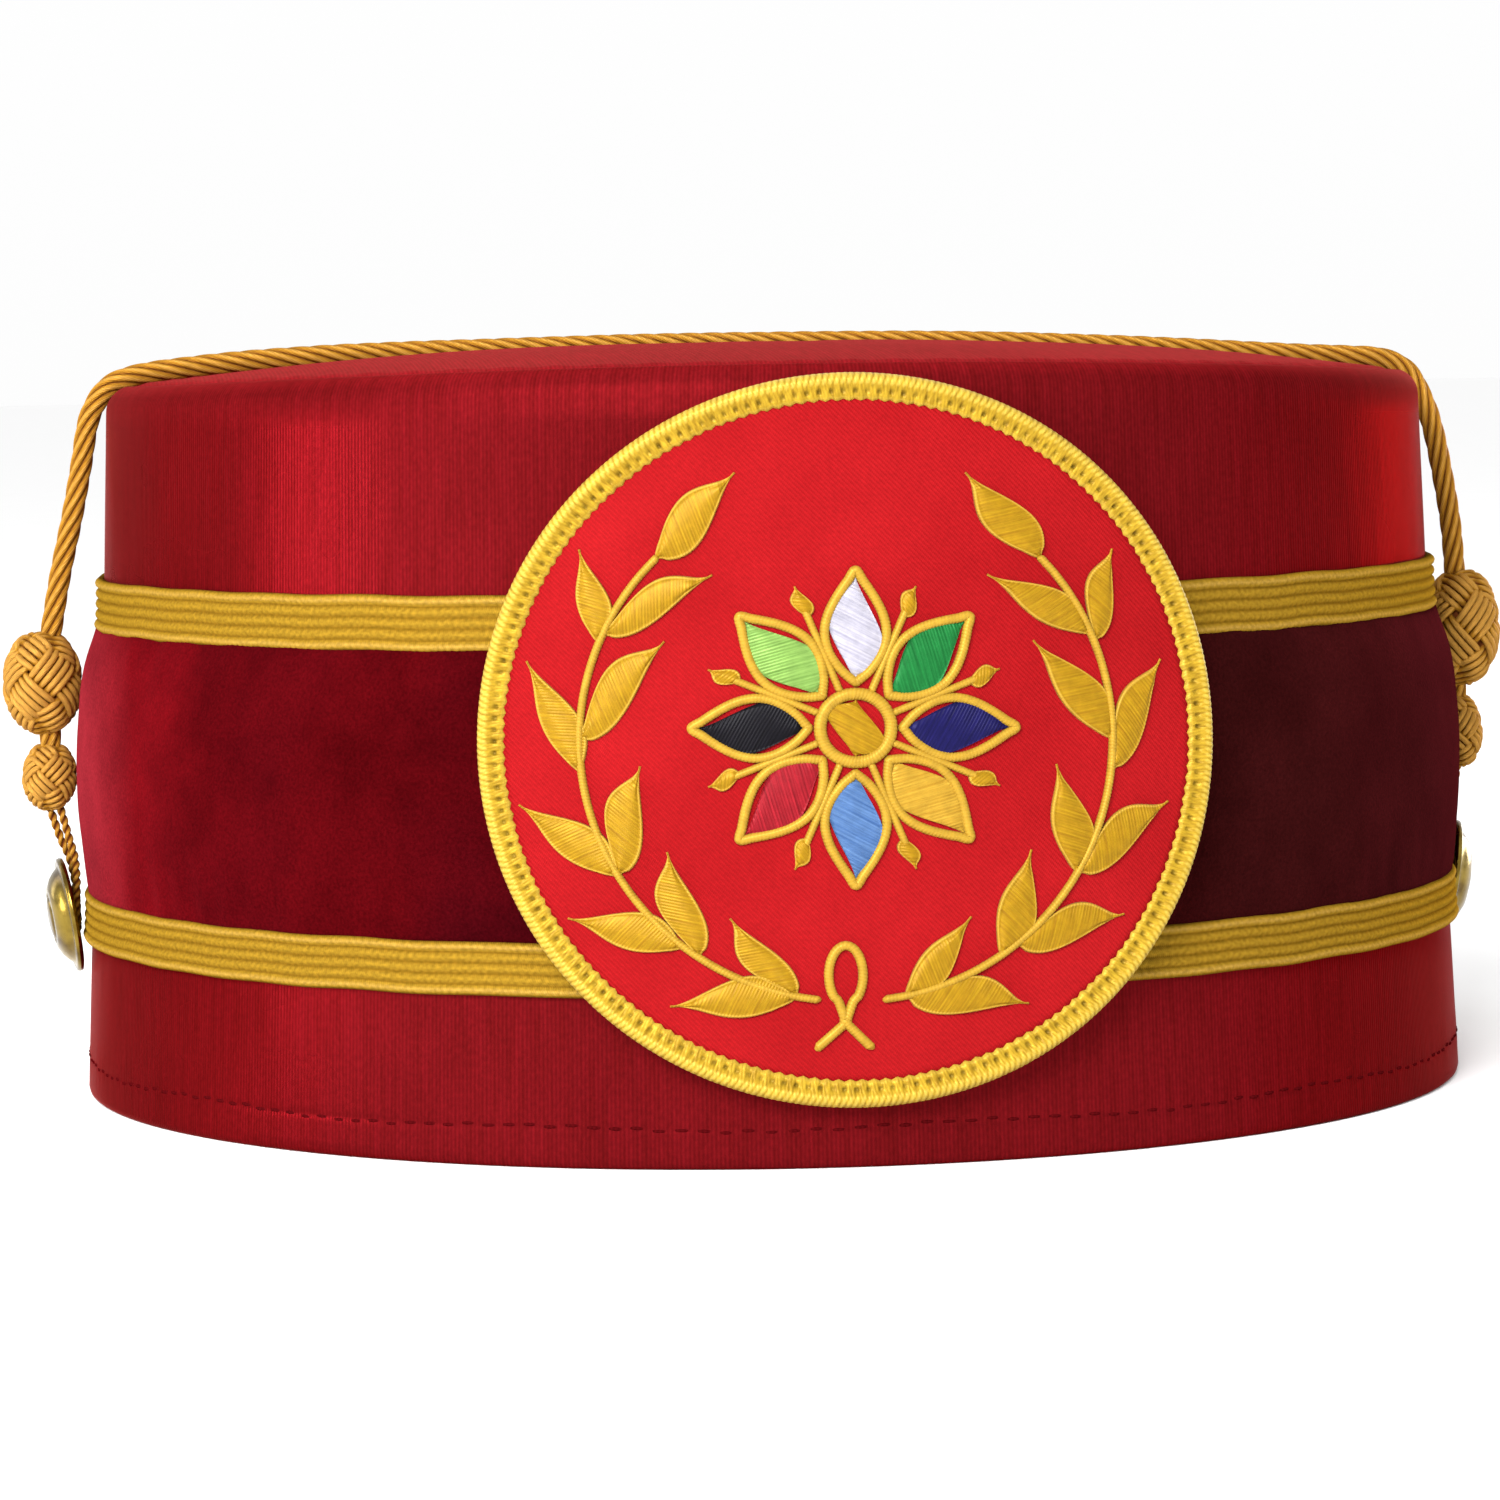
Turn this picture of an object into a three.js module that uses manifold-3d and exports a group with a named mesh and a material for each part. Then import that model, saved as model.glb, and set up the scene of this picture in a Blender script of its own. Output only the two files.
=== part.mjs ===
// A round ceremonial cap with a low, slightly domed crown, in millimetres, +Z up.
//
// The hem rests on the XY plane, the front faces -Y and the wearer's left is at +X.
// A hollow side wall carries a padded tip. A velvet band runs round the wall between two
// flat gold braids. A stiff round embroidered emblem is sewn to the front. A twisted gold
// cord lies over the tip and comes down each side through two slide knots to a small
// looped end, which is held by the shank of a domed metal button.
//
// Heights are measured from the hem. An inset is measured inwards from the hem's outline.
// Angles round the cap are measured from the front, towards +X.

import * as THREE from "three";
import Module from "manifold-3d";
import { mergeVertices } from "three/addons/utils/BufferGeometryUtils.js";

const wasm = await Module();
wasm.setup();

// ---- Driving dimensions of the cap ----
const HALF_WIDTH = 94.2; // hem outline, side to side
const HALF_LENGTH = 97.2; // hem outline, front to back
const PLAN_RATIO = HALF_LENGTH / HALF_WIDTH;
const WALL = 2.6; // cloth over stiffening
const GAP = 0.3; // between pieces that touch on the real cap
const ROUND_STEPS = 60; // facets round the cap

// Outer face of the side wall, from the hem up to the shoulder.
const WALL_ROWS = [
  { height: 0, inset: 0.5 },
  { height: 0.9, inset: 0 },
  { height: 20, inset: 0.9 },
  { height: 45, inset: 2.3 },
  { height: 66, inset: 3.7 },
  { height: 92.4, inset: 4.6 },
];
const SHOULDER_RADIUS = 3.6;
const SHOULDER_TOP = 95.8;
const SEAM_INSET = 8.2; // where the side wall meets the tip
const FRONT_LIFT = 2.4; // the rim stands this much higher at the front and back
const LEFT_DROP = 0.5; // and this much lower on the left than in the middle
const LIFT_FROM = 70.5;

const TIP_THICKNESS = 2;
const TIP_RISE = 4.8; // dome height over the side seam
const TIP_FULLNESS = 2.6; // a higher power is a flatter dome with a rounder edge

// The taut cord presses a groove into the soft crown, a little behind its middle.
const CORD_BACK = 5;
const GROOVE_WIDTH = 7.5;
const GROOVE_ON_TOP = 2.1;
const GROOVE_AT_RIM = 1.3;

// Bands round the wall: braid, velvet, braid.
const LOWER_BRAID = { bottom: 21.1, top: 27.7 };
const UPPER_BRAID = { bottom: 63.2, top: 70.2 };
const BRAID_THICKNESS = 1.2;
const VELVET_THICKNESS = 0.8;
// How far the soft velvet stands out past its own thickness, as a share of its height.
const VELVET_ROWS = [
  { share: 0, bulge: 0 },
  { share: 0.1, bulge: 0.75 },
  { share: 0.3, bulge: 1.75 },
  { share: 0.55, bulge: 2.25 },
  { share: 0.8, bulge: 2.15 },
  { share: 0.93, bulge: 1.2 },
  { share: 1, bulge: 0 },
];
const FLATTENED_ANGLE = 0.42; // the emblem presses the velvet flat inside this angle

// ---- The emblem ----
const EMBLEM_RADIUS = 44.6;
const EMBLEM_STRETCH = 1.03; // it is this much wider than it is tall
const BORDER_WIDTH = 3;
const BORDER_HEIGHT = 2.6;
const GROUND_THICKNESS = 1.6;
const STITCH_HEIGHT = 0.8;
const EMBLEM_BEND = 125; // bend radius of the stiff emblem
const EMBLEM_MIDDLE = 52.2; // height of its centre
const EMBLEM_LEAN = 0.056; // backwards, in radians
const EMBLEM_TURN = THREE.MathUtils.degToRad(1.2); // clockwise, as it is sewn on
const WREATH_MIDDLE = -0.5; // the wreath is stitched this far to the side of the middle
const EMBLEM_BACK = 96.2; // distance of its back from the cap's axis, at the centre
const STITCH_FOOT = GROUND_THICKNESS + GAP;

// ---- Buttons, cord and knots ----
const BUTTON_HEIGHT = 24.3;
const BUTTON_RADIUS = 7.9;
const BUTTON_BACK = 96.4; // distance of the head's back from the axis
const BUTTON_TILT = THREE.MathUtils.degToRad(9);
const BUTTON_BEHIND = 2; // the button hangs this far behind the middle
const BUTTON_TURN = THREE.MathUtils.degToRad(6); // its face looks this far round to the front
const SHANK_RADIUS = 1.2;
const SHANK_LENGTH = 1.6;
const CORD_DIAMETER = 3;
const LOOP_DIAMETER = 1.2;
const TUBE_SIDES = 8;

// Slide knots, with their ends as [distance from the axis, height], and how far out the
// cord enters the big knot and passes between the two. The left pair is stretched a little
// longer and has been slid a little higher.
const KNOTS = {
  left: {
    big: { top: [99.3, 67], bottom: [99.5, 50.4], radius: 5 },
    small: { top: [98.5, 49.4], bottom: [98.3, 39], radius: 3.5 },
    entry: 98.2,
    neck: 98.2,
  },
  right: {
    big: { top: [99.6, 62.8], bottom: [99.5, 48.6], radius: 5 },
    small: { top: [99.0, 47.3], bottom: [98.4, 38.3], radius: 3.6 },
    entry: 97.9,
    neck: 98.3,
  },
};

// The cord's route from the right big knot over the crown towards the left one: [x, z].
const CORD_ROUTE = [
  [-96.4, 70.2],
  [-94.5, 78.5],
  [-93.1, 85.5],
  [-92.1, 91],
  [-90.85, 93.95],
  [-89.05, 96.1],
  [-86.3, 97.3],
  [-82.5, 98.0],
  [-77, 98.6],
  [-68, 99.3],
  [-54, 99.9],
  [-36, 100.2],
  [-18, 100.45],
  [0, 100.45],
  [18, 100.3],
  [36, 99.8],
  [54, 98.9],
  [68, 98.0],
  [77, 97.4],
  [83, 97.1],
  [88.2, 96.6],
  [91.6, 94.8],
  [93.8, 91],
  [95.3, 86.5],
  [96.7, 79.5],
  [97.7, 73],
];
// One strand of a button loop, from the small knot down to the shank: [x, y, z].
const LOOP_STRAND = [
  [96.7, 0.85, 34.4],
  [95.8, 1.2, 31.8],
  [95.35, 1.75, 28.6],
  [95.3, 2.2, 25.4],
  [95.25, 1.75, 23],
];
const LOOP_FOOT = [95.23, 0, 22.15];
const LOOP_SPREAD = 0.75; // of its two strands, under the small knot

// ---- Colours, one material each ----
function cloth(color, roughness = 0.8) {
  return new THREE.MeshStandardMaterial({ color, roughness, metalness: 0 });
}
const CRIMSON_CLOTH = cloth(0xa3141f, 0.55);
const CRIMSON_VELVET = cloth(0x5c0a12, 0.95);
const GOLD_BRAID = cloth(0xd6a821, 0.6);
const GOLD_CORD = cloth(0xd29a26, 0.5);
const EMBLEM_RED = cloth(0xe01b22, 0.75);
const GOLD_THREAD = cloth(0xf2bd22, 0.45);
const GOLD_METAL = new THREE.MeshStandardMaterial({ color: 0xd8b450, roughness: 0.25, metalness: 1 });
const PETAL_THREADS = [
  { name: "white", material: cloth(0xf2eef5, 0.45) },
  { name: "green", material: cloth(0x1f9a48, 0.45) },
  { name: "navy", material: cloth(0x1d1a5e, 0.45) },
  { name: "yellow", material: cloth(0xf0bb2a, 0.45) },
  { name: "light_blue", material: cloth(0x6d9ad8, 0.45) },
  { name: "crimson", material: cloth(0xc4202c, 0.45) },
  { name: "black", material: cloth(0x0c0a10, 0.45) },
  { name: "light_green", material: cloth(0xa5d86a, 0.45) },
];

// ---- Small helpers ----

// The value of column `to` where column `from` is at, by straight lines between rows.
function readRows(rows, from, to, at) {
  const last = rows.length - 1;
  if (at <= rows[0][from]) return rows[0][to];
  if (at >= rows[last][from]) return rows[last][to];
  const next = rows.findIndex((row) => row[from] >= at);
  const [low, high] = [rows[next - 1], rows[next]];
  return THREE.MathUtils.mapLinear(at, low[from], high[from], low[to], high[to]);
}

// The wall's outer radius at a height, on the cap's width.
function wallRadius(height) {
  return HALF_WIDTH - readRows(WALL_ROWS, "height", "inset", height);
}

// How much the uneven rim lifts a point at an angle.
function rimLift(angle) {
  return FRONT_LIFT * Math.cos(angle) ** 2 - LEFT_DROP * Math.sin(angle);
}

// How much of the cord's groove a point has, from its distance in front of the cord.
function grooveShare(radius, angle) {
  const y = -radius * PLAN_RATIO * Math.cos(angle);
  return Math.exp(-(((y - CORD_BACK) / GROOVE_WIDTH) ** 2));
}

// Moves each vertex of a geometry by a function that changes a Vector3.
function mapVertices(geometry, change) {
  const position = geometry.getAttribute("position");
  const point = new THREE.Vector3();
  for (let i = 0; i < position.count; i++) {
    change(point.fromBufferAttribute(position, i));
    position.setXYZ(i, point.x, point.y, point.z);
  }
  return geometry;
}

// Turns a lathe made round three's Y axis into the cap's plan: (radius, angle, height).
function intoPlan(lathe, radiusAt = (radius) => radius, heightAt = (height) => height) {
  return mapVertices(lathe, (p) => {
    const radius = Math.hypot(p.x, p.z);
    const angle = Math.atan2(p.x, p.z);
    const height = p.y;
    const shaped = radiusAt(radius, angle, height);
    const lifted = heightAt(height, angle, radius);
    p.set(shaped * Math.sin(angle), -shaped * PLAN_RATIO * Math.cos(angle), lifted);
  });
}

// A closed profile of [radius, height] pairs, anticlockwise, turned round the cap.
function turned(profile, steps = ROUND_STEPS) {
  const points = profile.map(([radius, height]) => new THREE.Vector2(radius, height));
  return new THREE.LatheGeometry(points, steps);
}

function closed(profile) {
  return [...profile, profile[0]];
}

function named(name, geometry, material) {
  const mesh = new THREE.Mesh(geometry, material);
  mesh.name = name;
  return mesh;
}

// ---- The crown ----

// Side wall: up the outer face, over the shoulder, and back down the inner face.
function crownSide() {
  const centre = HALF_WIDTH - SEAM_INSET;
  const arc = (radius, steps) =>
    Array.from({ length: steps + 1 }, (_, i) => {
      const turn = (Math.PI / 2) * (i / steps);
      return [
        centre + radius * Math.cos(turn),
        SHOULDER_TOP - SHOULDER_RADIUS + radius * Math.sin(turn),
      ];
    });
  const outer = WALL_ROWS.slice(0, -1).map(({ height, inset }) => [HALF_WIDTH - inset, height]);
  const inner = WALL_ROWS.slice(1, -1)
    .filter(({ height }) => height > 1)
    .map(({ height, inset }) => [HALF_WIDTH - inset - WALL, height])
    .reverse();
  const profile = [
    ...outer,
    ...arc(SHOULDER_RADIUS, 3),
    ...arc(SHOULDER_RADIUS - WALL, 2).reverse(),
    ...inner,
    [HALF_WIDTH - WALL, 0],
  ];
  const rimShare = (height) => {
    return THREE.MathUtils.clamp((height - LIFT_FROM) / (SHOULDER_TOP - LIFT_FROM), 0, 1);
  };
  const lifted = (height, angle, radius) => {
    const share = rimShare(height);
    const pressed = GROOVE_AT_RIM * share ** 8 * grooveShare(radius, angle);
    return height + share * rimLift(angle) - pressed;
  };
  return intoPlan(turned(closed(profile)), undefined, lifted);
}

// Height of the tip's upper face at a share of its radius and an angle.
function tipHeight(share, angle) {
  const radius = share * (HALF_WIDTH - SEAM_INSET);
  const dome = TIP_RISE * (1 - share ** TIP_FULLNESS);
  const depth = THREE.MathUtils.lerp(GROOVE_ON_TOP, GROOVE_AT_RIM, share ** 4);
  return SHOULDER_TOP + dome + share ** 2 * rimLift(angle) - depth * grooveShare(radius, angle);
}

function crownTip() {
  const edge = HALF_WIDTH - SEAM_INSET - GAP;
  const shares = [0, 0.06, 0.13, 0.3, 0.5, 0.7, 0.86, 1];
  const upper = shares.map((share) => [share * edge, 1]).reverse();
  const lower = [0, 0.3, 0.6, 0.86, 1].map((share) => [share * edge, 0]);
  const profile = [...lower, ...upper];
  const height = (level, angle, radius) =>
    tipHeight(radius / edge, angle) - TIP_THICKNESS * (1 - level);
  return intoPlan(turned(profile), undefined, height);
}

// ---- Bands round the wall ----

function braid({ bottom, top }) {
  const foot = GAP;
  const edge = 0.75 * BRAID_THICKNESS;
  const at = (height, out) => [wallRadius(height) + out, height];
  const profile = [
    at(bottom, foot),
    at(bottom, edge),
    at(bottom + 0.8, BRAID_THICKNESS),
    at(top - 0.8, BRAID_THICKNESS),
    at(top, edge),
    at(top, foot),
  ];
  return intoPlan(turned(closed(profile)));
}

// How much of its bulge the velvet keeps at an angle: little under the emblem.
function freeBulge(angle) {
  return 1 - 0.93 * Math.exp(-((angle / FLATTENED_ANGLE) ** 4));
}

function velvetBand() {
  const bottom = LOWER_BRAID.top + GAP;
  const top = UPPER_BRAID.bottom - GAP;
  const heightOf = (share) => THREE.MathUtils.lerp(bottom, top, share);
  const outer = VELVET_ROWS.map(({ share, bulge }) => [
    wallRadius(heightOf(share)) + VELVET_THICKNESS + bulge,
    heightOf(share),
  ]);
  const inner = [1, 0.5, 0].map((share) => [wallRadius(heightOf(share)) + GAP, heightOf(share)]);
  const press = (radius, angle, height) => {
    const plain = wallRadius(height) + VELVET_THICKNESS;
    return radius > plain ? plain + (radius - plain) * freeBulge(angle) : radius;
  };
  return intoPlan(turned(closed([...outer, ...inner])), press);
}

// ---- The emblem ----

// Puts a point of the flat emblem (u to the right, v up, h out) on its bent, leaning
// place at the front of the cap.
function ontoEmblem(point) {
  const [cosTurn, sinTurn] = [Math.cos(EMBLEM_TURN), Math.sin(EMBLEM_TURN)];
  const u = point.x * cosTurn + point.y * sinTurn;
  const v = point.y * cosTurn - point.x * sinTurn;
  const h = point.z;
  const turn = (u * EMBLEM_STRETCH) / EMBLEM_BEND;
  const sideways = (EMBLEM_BEND + h) * Math.sin(turn);
  const inwards = EMBLEM_BEND * (1 - Math.cos(turn)) - h * Math.cos(turn);
  const [cos, sin] = [Math.cos(EMBLEM_LEAN), Math.sin(EMBLEM_LEAN)];
  point.set(
    sideways,
    -EMBLEM_BACK + inwards * cos + v * sin,
    EMBLEM_MIDDLE + v * cos - inwards * sin,
  );
}

// A flat shape, raised between two heights over the emblem's back. It isn't bent yet.
function flatStitches(shape, curveSegments = 6) {
  const geometry = new THREE.ExtrudeGeometry(shape, {
    depth: STITCH_HEIGHT,
    bevelEnabled: false,
    curveSegments,
  });
  return geometry.translate(0, 0, STITCH_FOOT);
}

// A lens with two pointed ends: its outline from start to end, as wide as width.
function lensPoints(start, end, width, steps = 6) {
  const along = new THREE.Vector2().subVectors(end, start);
  const across = new THREE.Vector2(-along.y, along.x).normalize();
  const side = (sign, shares) =>
    shares.map((t) =>
      start
        .clone()
        .addScaledVector(along, t)
        .addScaledVector(across, (sign * width * Math.sin(Math.PI * t ** 0.85)) / 2),
    );
  const shares = Array.from({ length: steps }, (_, i) => i / steps);
  const back = shares.map((t) => 1 - t);
  return [...side(-1, shares), ...side(1, back)];
}

function lens(start, end, width, steps) {
  return new THREE.Shape(lensPoints(start, end, width, steps));
}

// A band of even width along a list of points.
function ribbon(points, width) {
  const edge = (sign) =>
    points.map((p, i) => {
      const before = points[Math.max(i - 1, 0)];
      const after = points[Math.min(i + 1, points.length - 1)];
      const along = new THREE.Vector2().subVectors(after, before).normalize();
      return new THREE.Vector2(p.x - (sign * along.y * width) / 2, p.y + (sign * along.x * width) / 2);
    });
  return new THREE.Shape([...edge(-1), ...edge(1).reverse()]);
}

function solidOf(geometry) {
  const bare = geometry.index ? geometry.toNonIndexed() : geometry.clone();
  bare.deleteAttribute("normal");
  bare.deleteAttribute("uv");
  const merged = mergeVertices(bare, 1e-4);
  return new wasm.Manifold(
    new wasm.Mesh({
      numProp: 3,
      vertProperties: merged.getAttribute("position").array,
      triVerts: new Uint32Array(merged.index.array),
    }),
  );
}

// Several geometries joined into one.
function joined(geometries) {
  const solid = geometries.map(solidOf).reduce((a, b) => a.add(b));
  const { numProp, vertProperties, triVerts } = solid.getMesh();
  const position = new Float32Array(vertProperties.filter((_, i) => i % numProp < 3));
  return new THREE.BufferGeometry()
    .setAttribute("position", new THREE.BufferAttribute(position, 3))
    .setIndex(new THREE.BufferAttribute(new Uint32Array(triVerts), 1));
}

// A disc or ring of the emblem, from a lathe round its centre: [radius, height] pairs.
function emblemTurned(profile, steps) {
  const lathe = turned(profile, steps);
  return mapVertices(lathe, (p) => {
    p.set(p.x, p.z, p.y);
    p.x = -p.x;
    ontoEmblem(p);
  });
}

function emblemGround() {
  const edge = EMBLEM_RADIUS - BORDER_WIDTH - GAP;
  const shares = [0, 0.35, 0.7, 1];
  const back = shares.map((share) => [share * edge, 0]);
  const face = shares.map((share) => [share * edge, GROUND_THICKNESS]).reverse();
  return emblemTurned([...back, ...face], 40);
}

// The rolled thread edge, rounded on its face.
function emblemBorder() {
  const inner = EMBLEM_RADIUS - BORDER_WIDTH;
  const profile = [
    [inner, 0],
    [EMBLEM_RADIUS - 0.9, 0],
    [EMBLEM_RADIUS, 0.9],
    [EMBLEM_RADIUS - 0.2, 1.8],
    [EMBLEM_RADIUS - 1.2, BORDER_HEIGHT],
    [EMBLEM_RADIUS - 2.2, BORDER_HEIGHT - 0.1],
    [inner, GROUND_THICKNESS + 0.3],
  ];
  return emblemTurned(closed(profile), 60);
}

// The wreath's stem is an arc round the emblem's centre.
// Angles are in degrees from straight down, up the left side.
const STEM = { from: 6.5, to: 134, radius: 31.7, width: 0.95 };
// One leaf a row: where it leaves the stem, its tip in the emblem's u and v, its width.
const LEAF_ROWS = [
  { at: 11.5, tip: [-21.2, -32.2], width: 5.1 },
  { at: 11.5, tip: [-14.2, -21.5], width: 4.2 },
  { at: 38, tip: [-33.2, -21.5], width: 5.0 },
  { at: 34, tip: [-21.5, -13.4], width: 5.0 },
  { at: 59, tip: [-39.0, -7.7], width: 5.0 },
  { at: 59, tip: [-24.6, -3.0], width: 5.2 },
  { at: 83, tip: [-38.0, 9.8], width: 4.7 },
  { at: 90, tip: [-21.7, 12.1], width: 5.2 },
  { at: 112, tip: [-31.7, 23.3], width: 4.1 },
  { at: 114, tip: [-16.1, 20.1], width: 4.6 },
  { at: 134, tip: [-13.5, 32.5], width: 5.4 },
];

function stemPoint(degrees) {
  const turn = THREE.MathUtils.degToRad(degrees);
  return new THREE.Vector2(-Math.sin(turn), -Math.cos(turn)).multiplyScalar(STEM.radius);
}

// One branch of the laurel wreath; side is 1 for the left one and -1 for its mirror image.
function wreathBranch(side) {
  const steps = 18;
  const stem = Array.from({ length: steps + 1 }, (_, i) =>
    stemPoint(THREE.MathUtils.lerp(STEM.from, STEM.to + 1, i / steps)),
  );
  const leaves = LEAF_ROWS.map(({ at, tip, width }) =>
    flatStitches(lens(stemPoint(at), new THREE.Vector2(...tip), width)),
  );
  const flat = joined([flatStitches(ribbon(stem, STEM.width)), ...leaves]);
  if (side < 0) mirror(flat);
  flat.translate(WREATH_MIDDLE, 0, 0);
  return mapVertices(flat, ontoEmblem);
}

// Mirrors a geometry left to right and turns its faces round again.
function mirror(geometry) {
  mapVertices(geometry, (p) => p.setX(-p.x));
  const index = geometry.index.array;
  for (let i = 0; i < index.length; i += 3) [index[i + 1], index[i + 2]] = [index[i + 2], index[i + 1]];
  return geometry;
}

// The looped ribbon end at the wreath's foot.
const TIE = { crossing: -34.2, loopMiddle: -28.5, loopHalfWidth: 2, loopHalfHeight: 3.6, width: 1.3 };
const TIE_LEGS = [
  [-4.8, -37.5],
  [2, -37.5],
];

function ribbonTie() {
  const crossing = new THREE.Vector2(WREATH_MIDDLE - 0.7, TIE.crossing);
  const open = 0.42; // half of the loop's opening at its foot, in radians
  const steps = 10;
  const loop = Array.from({ length: steps + 1 }, (_, i) => {
    const turn = THREE.MathUtils.lerp(open, 2 * Math.PI - open, i / steps) - Math.PI / 2;
    return new THREE.Vector2(
      crossing.x + TIE.loopHalfWidth * Math.cos(turn),
      TIE.loopMiddle + TIE.loopHalfHeight * Math.sin(turn),
    );
  });
  const legs = TIE_LEGS.map(([u, v], i) => {
    const start = i === 0 ? loop[0] : loop[steps];
    return flatStitches(ribbon([start, crossing, new THREE.Vector2(u, v)], TIE.width));
  });
  return mapVertices(joined([flatStitches(ribbon(loop, TIE.width)), ...legs]), ontoEmblem);
}

// An eight-petalled rosette fills the middle: gold outlines round coloured petals.
const ROSETTE = { u: 0, v: 1.5, petals: 8, petalFrom: 4.3, petalTo: 20.3, petalWidth: 8.4 };
const ROSETTE_LINE = 1.15;
const ROSETTE_RING = { inner: 3.4, outer: 4.9 };
const STAMEN = { from: 4.5, to: 15, width: 0.9, headTo: 18.6, headWidth: 2.4 };

function rosettePoint(radius, turn) {
  return new THREE.Vector2(ROSETTE.u + radius * Math.sin(turn), ROSETTE.v + radius * Math.cos(turn));
}

function petalTurn(index) {
  return (2 * Math.PI * index) / ROSETTE.petals;
}

// A petal's outline, drawn in by an inset all round.
function petalOutline(turn, inset) {
  const ends = inset * 2.1; // the pointed ends draw in further than the sides
  return lensPoints(
    rosettePoint(ROSETTE.petalFrom + ends, turn),
    rosettePoint(ROSETTE.petalTo - ends, turn),
    ROSETTE.petalWidth - 2 * inset,
    7,
  );
}

function rosetteFrame() {
  const pieces = [];
  for (let i = 0; i < ROSETTE.petals; i++) {
    const petal = new THREE.Shape(petalOutline(petalTurn(i), 0));
    petal.holes.push(new THREE.Path(petalOutline(petalTurn(i), ROSETTE_LINE)));
    pieces.push(flatStitches(petal));
    const between = petalTurn(i + 0.5);
    const stalk = [rosettePoint(STAMEN.from, between), rosettePoint(STAMEN.to + 0.6, between)];
    pieces.push(flatStitches(ribbon(stalk, STAMEN.width)));
    const head = lens(rosettePoint(STAMEN.to - 0.6, between), rosettePoint(STAMEN.headTo, between),
      STAMEN.headWidth, 4);
    pieces.push(flatStitches(head));
  }
  const ring = new THREE.Shape().absarc(ROSETTE.u, ROSETTE.v, ROSETTE_RING.outer, 0, 2 * Math.PI);
  ring.holes.push(new THREE.Path().absarc(ROSETTE.u, ROSETTE.v, ROSETTE_RING.inner, 0, 2 * Math.PI));
  pieces.push(flatStitches(ring, 12));
  return mapVertices(joined(pieces), ontoEmblem);
}

function rosettePetal(index) {
  const outline = petalOutline(petalTurn(index), ROSETTE_LINE + GAP);
  return mapVertices(flatStitches(new THREE.Shape(outline)), ontoEmblem);
}

function rosetteBoss() {
  const disc = new THREE.Shape();
  disc.absarc(ROSETTE.u, ROSETTE.v, ROSETTE_RING.inner - GAP, 0, 2 * Math.PI);
  return mapVertices(flatStitches(disc, 10), ontoEmblem);
}

// ---- Buttons, cord and knots ----

// A domed button with a flat flange and a short shank, its face along +X, then leaning
// a little downwards because the cord's loop lifts its upper edge.
function button(side) {
  const profile = [
    [0, -SHANK_LENGTH],
    [SHANK_RADIUS, -SHANK_LENGTH],
    [SHANK_RADIUS, 0],
    [BUTTON_RADIUS - 0.4, 0],
    [BUTTON_RADIUS, 0.45],
    [BUTTON_RADIUS - 0.4, 0.9],
    [BUTTON_RADIUS - 1.3, 1.0],
    [BUTTON_RADIUS - 2.6, 1.8],
    [BUTTON_RADIUS - 5, 2.3],
    [0, 2.5],
  ];
  const geometry = turned(profile, 20);
  const mesh = named(side > 0 ? "button_left" : "button_right", geometry, GOLD_METAL);
  mesh.rotation.z = (-side * Math.PI) / 2 - side * BUTTON_TILT;
  const holder = new THREE.Group().add(mesh);
  holder.rotation.x = Math.PI / 2;
  const hung = new THREE.Group().add(holder);
  hung.rotation.z = -side * BUTTON_TURN;
  hung.position.set(side * BUTTON_BACK, BUTTON_BEHIND, BUTTON_HEIGHT);
  return hung;
}

// A round tube along a curve, closed at both ends.
function tube(curve, diameter, steps) {
  const section = new THREE.Shape(
    Array.from({ length: TUBE_SIDES }, (_, i) => {
      const turn = (2 * Math.PI * i) / TUBE_SIDES;
      return new THREE.Vector2(Math.cos(turn), Math.sin(turn)).multiplyScalar(diameter / 2);
    }),
  );
  return new THREE.ExtrudeGeometry(section, { steps, extrudePath: curve, bevelEnabled: false });
}

// The slide knots of one side: side is 1 for left, -1 for right.
function knotsOf(side) {
  return side > 0 ? KNOTS.left : KNOTS.right;
}

function cordOverCrown() {
  const ends = [-1, 1].map((side) => {
    const { big, entry } = knotsOf(side);
    return [side * entry, big.top[1] + 2 * GAP];
  });
  const route = [ends[0], ...CORD_ROUTE, ends[1]];
  const points = route.map(([x, z]) => new THREE.Vector3(x, CORD_BACK, z));
  return tube(new THREE.CatmullRomCurve3(points), CORD_DIAMETER, 72);
}

// A barrel between two ends.
function knot({ top, bottom, radius }, side) {
  const length = Math.hypot(top[0] - bottom[0], top[1] - bottom[1]);
  const girths = [
    { share: 0, girth: 0.5 },
    { share: 0.16, girth: 0.86 },
    { share: 0.36, girth: 1 },
    { share: 0.64, girth: 1 },
    { share: 0.84, girth: 0.86 },
    { share: 1, girth: 0.5 },
  ];
  const barrel = girths.map(({ share, girth }) => [girth * radius, (share - 0.5) * length]);
  const geometry = turned([[0, -length / 2], ...barrel, [0, length / 2]], 12);
  geometry.rotateX(Math.PI / 2);
  geometry.rotateY(side * Math.atan2(top[0] - bottom[0], top[1] - bottom[1]));
  const [x, z] = [(side * (top[0] + bottom[0])) / 2, (top[1] + bottom[1]) / 2];
  return geometry.translate(x, CORD_BACK, z);
}

// The short upright stretch of cord between the two knots.
function cordNeck(side) {
  const { big, small, neck } = knotsOf(side);
  const start = new THREE.Vector3(side * neck, CORD_BACK, big.bottom[1] - GAP);
  const end = new THREE.Vector3(side * neck, CORD_BACK, small.top[1] + GAP);
  return tube(new THREE.LineCurve3(start, end), CORD_DIAMETER, 1);
}

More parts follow.
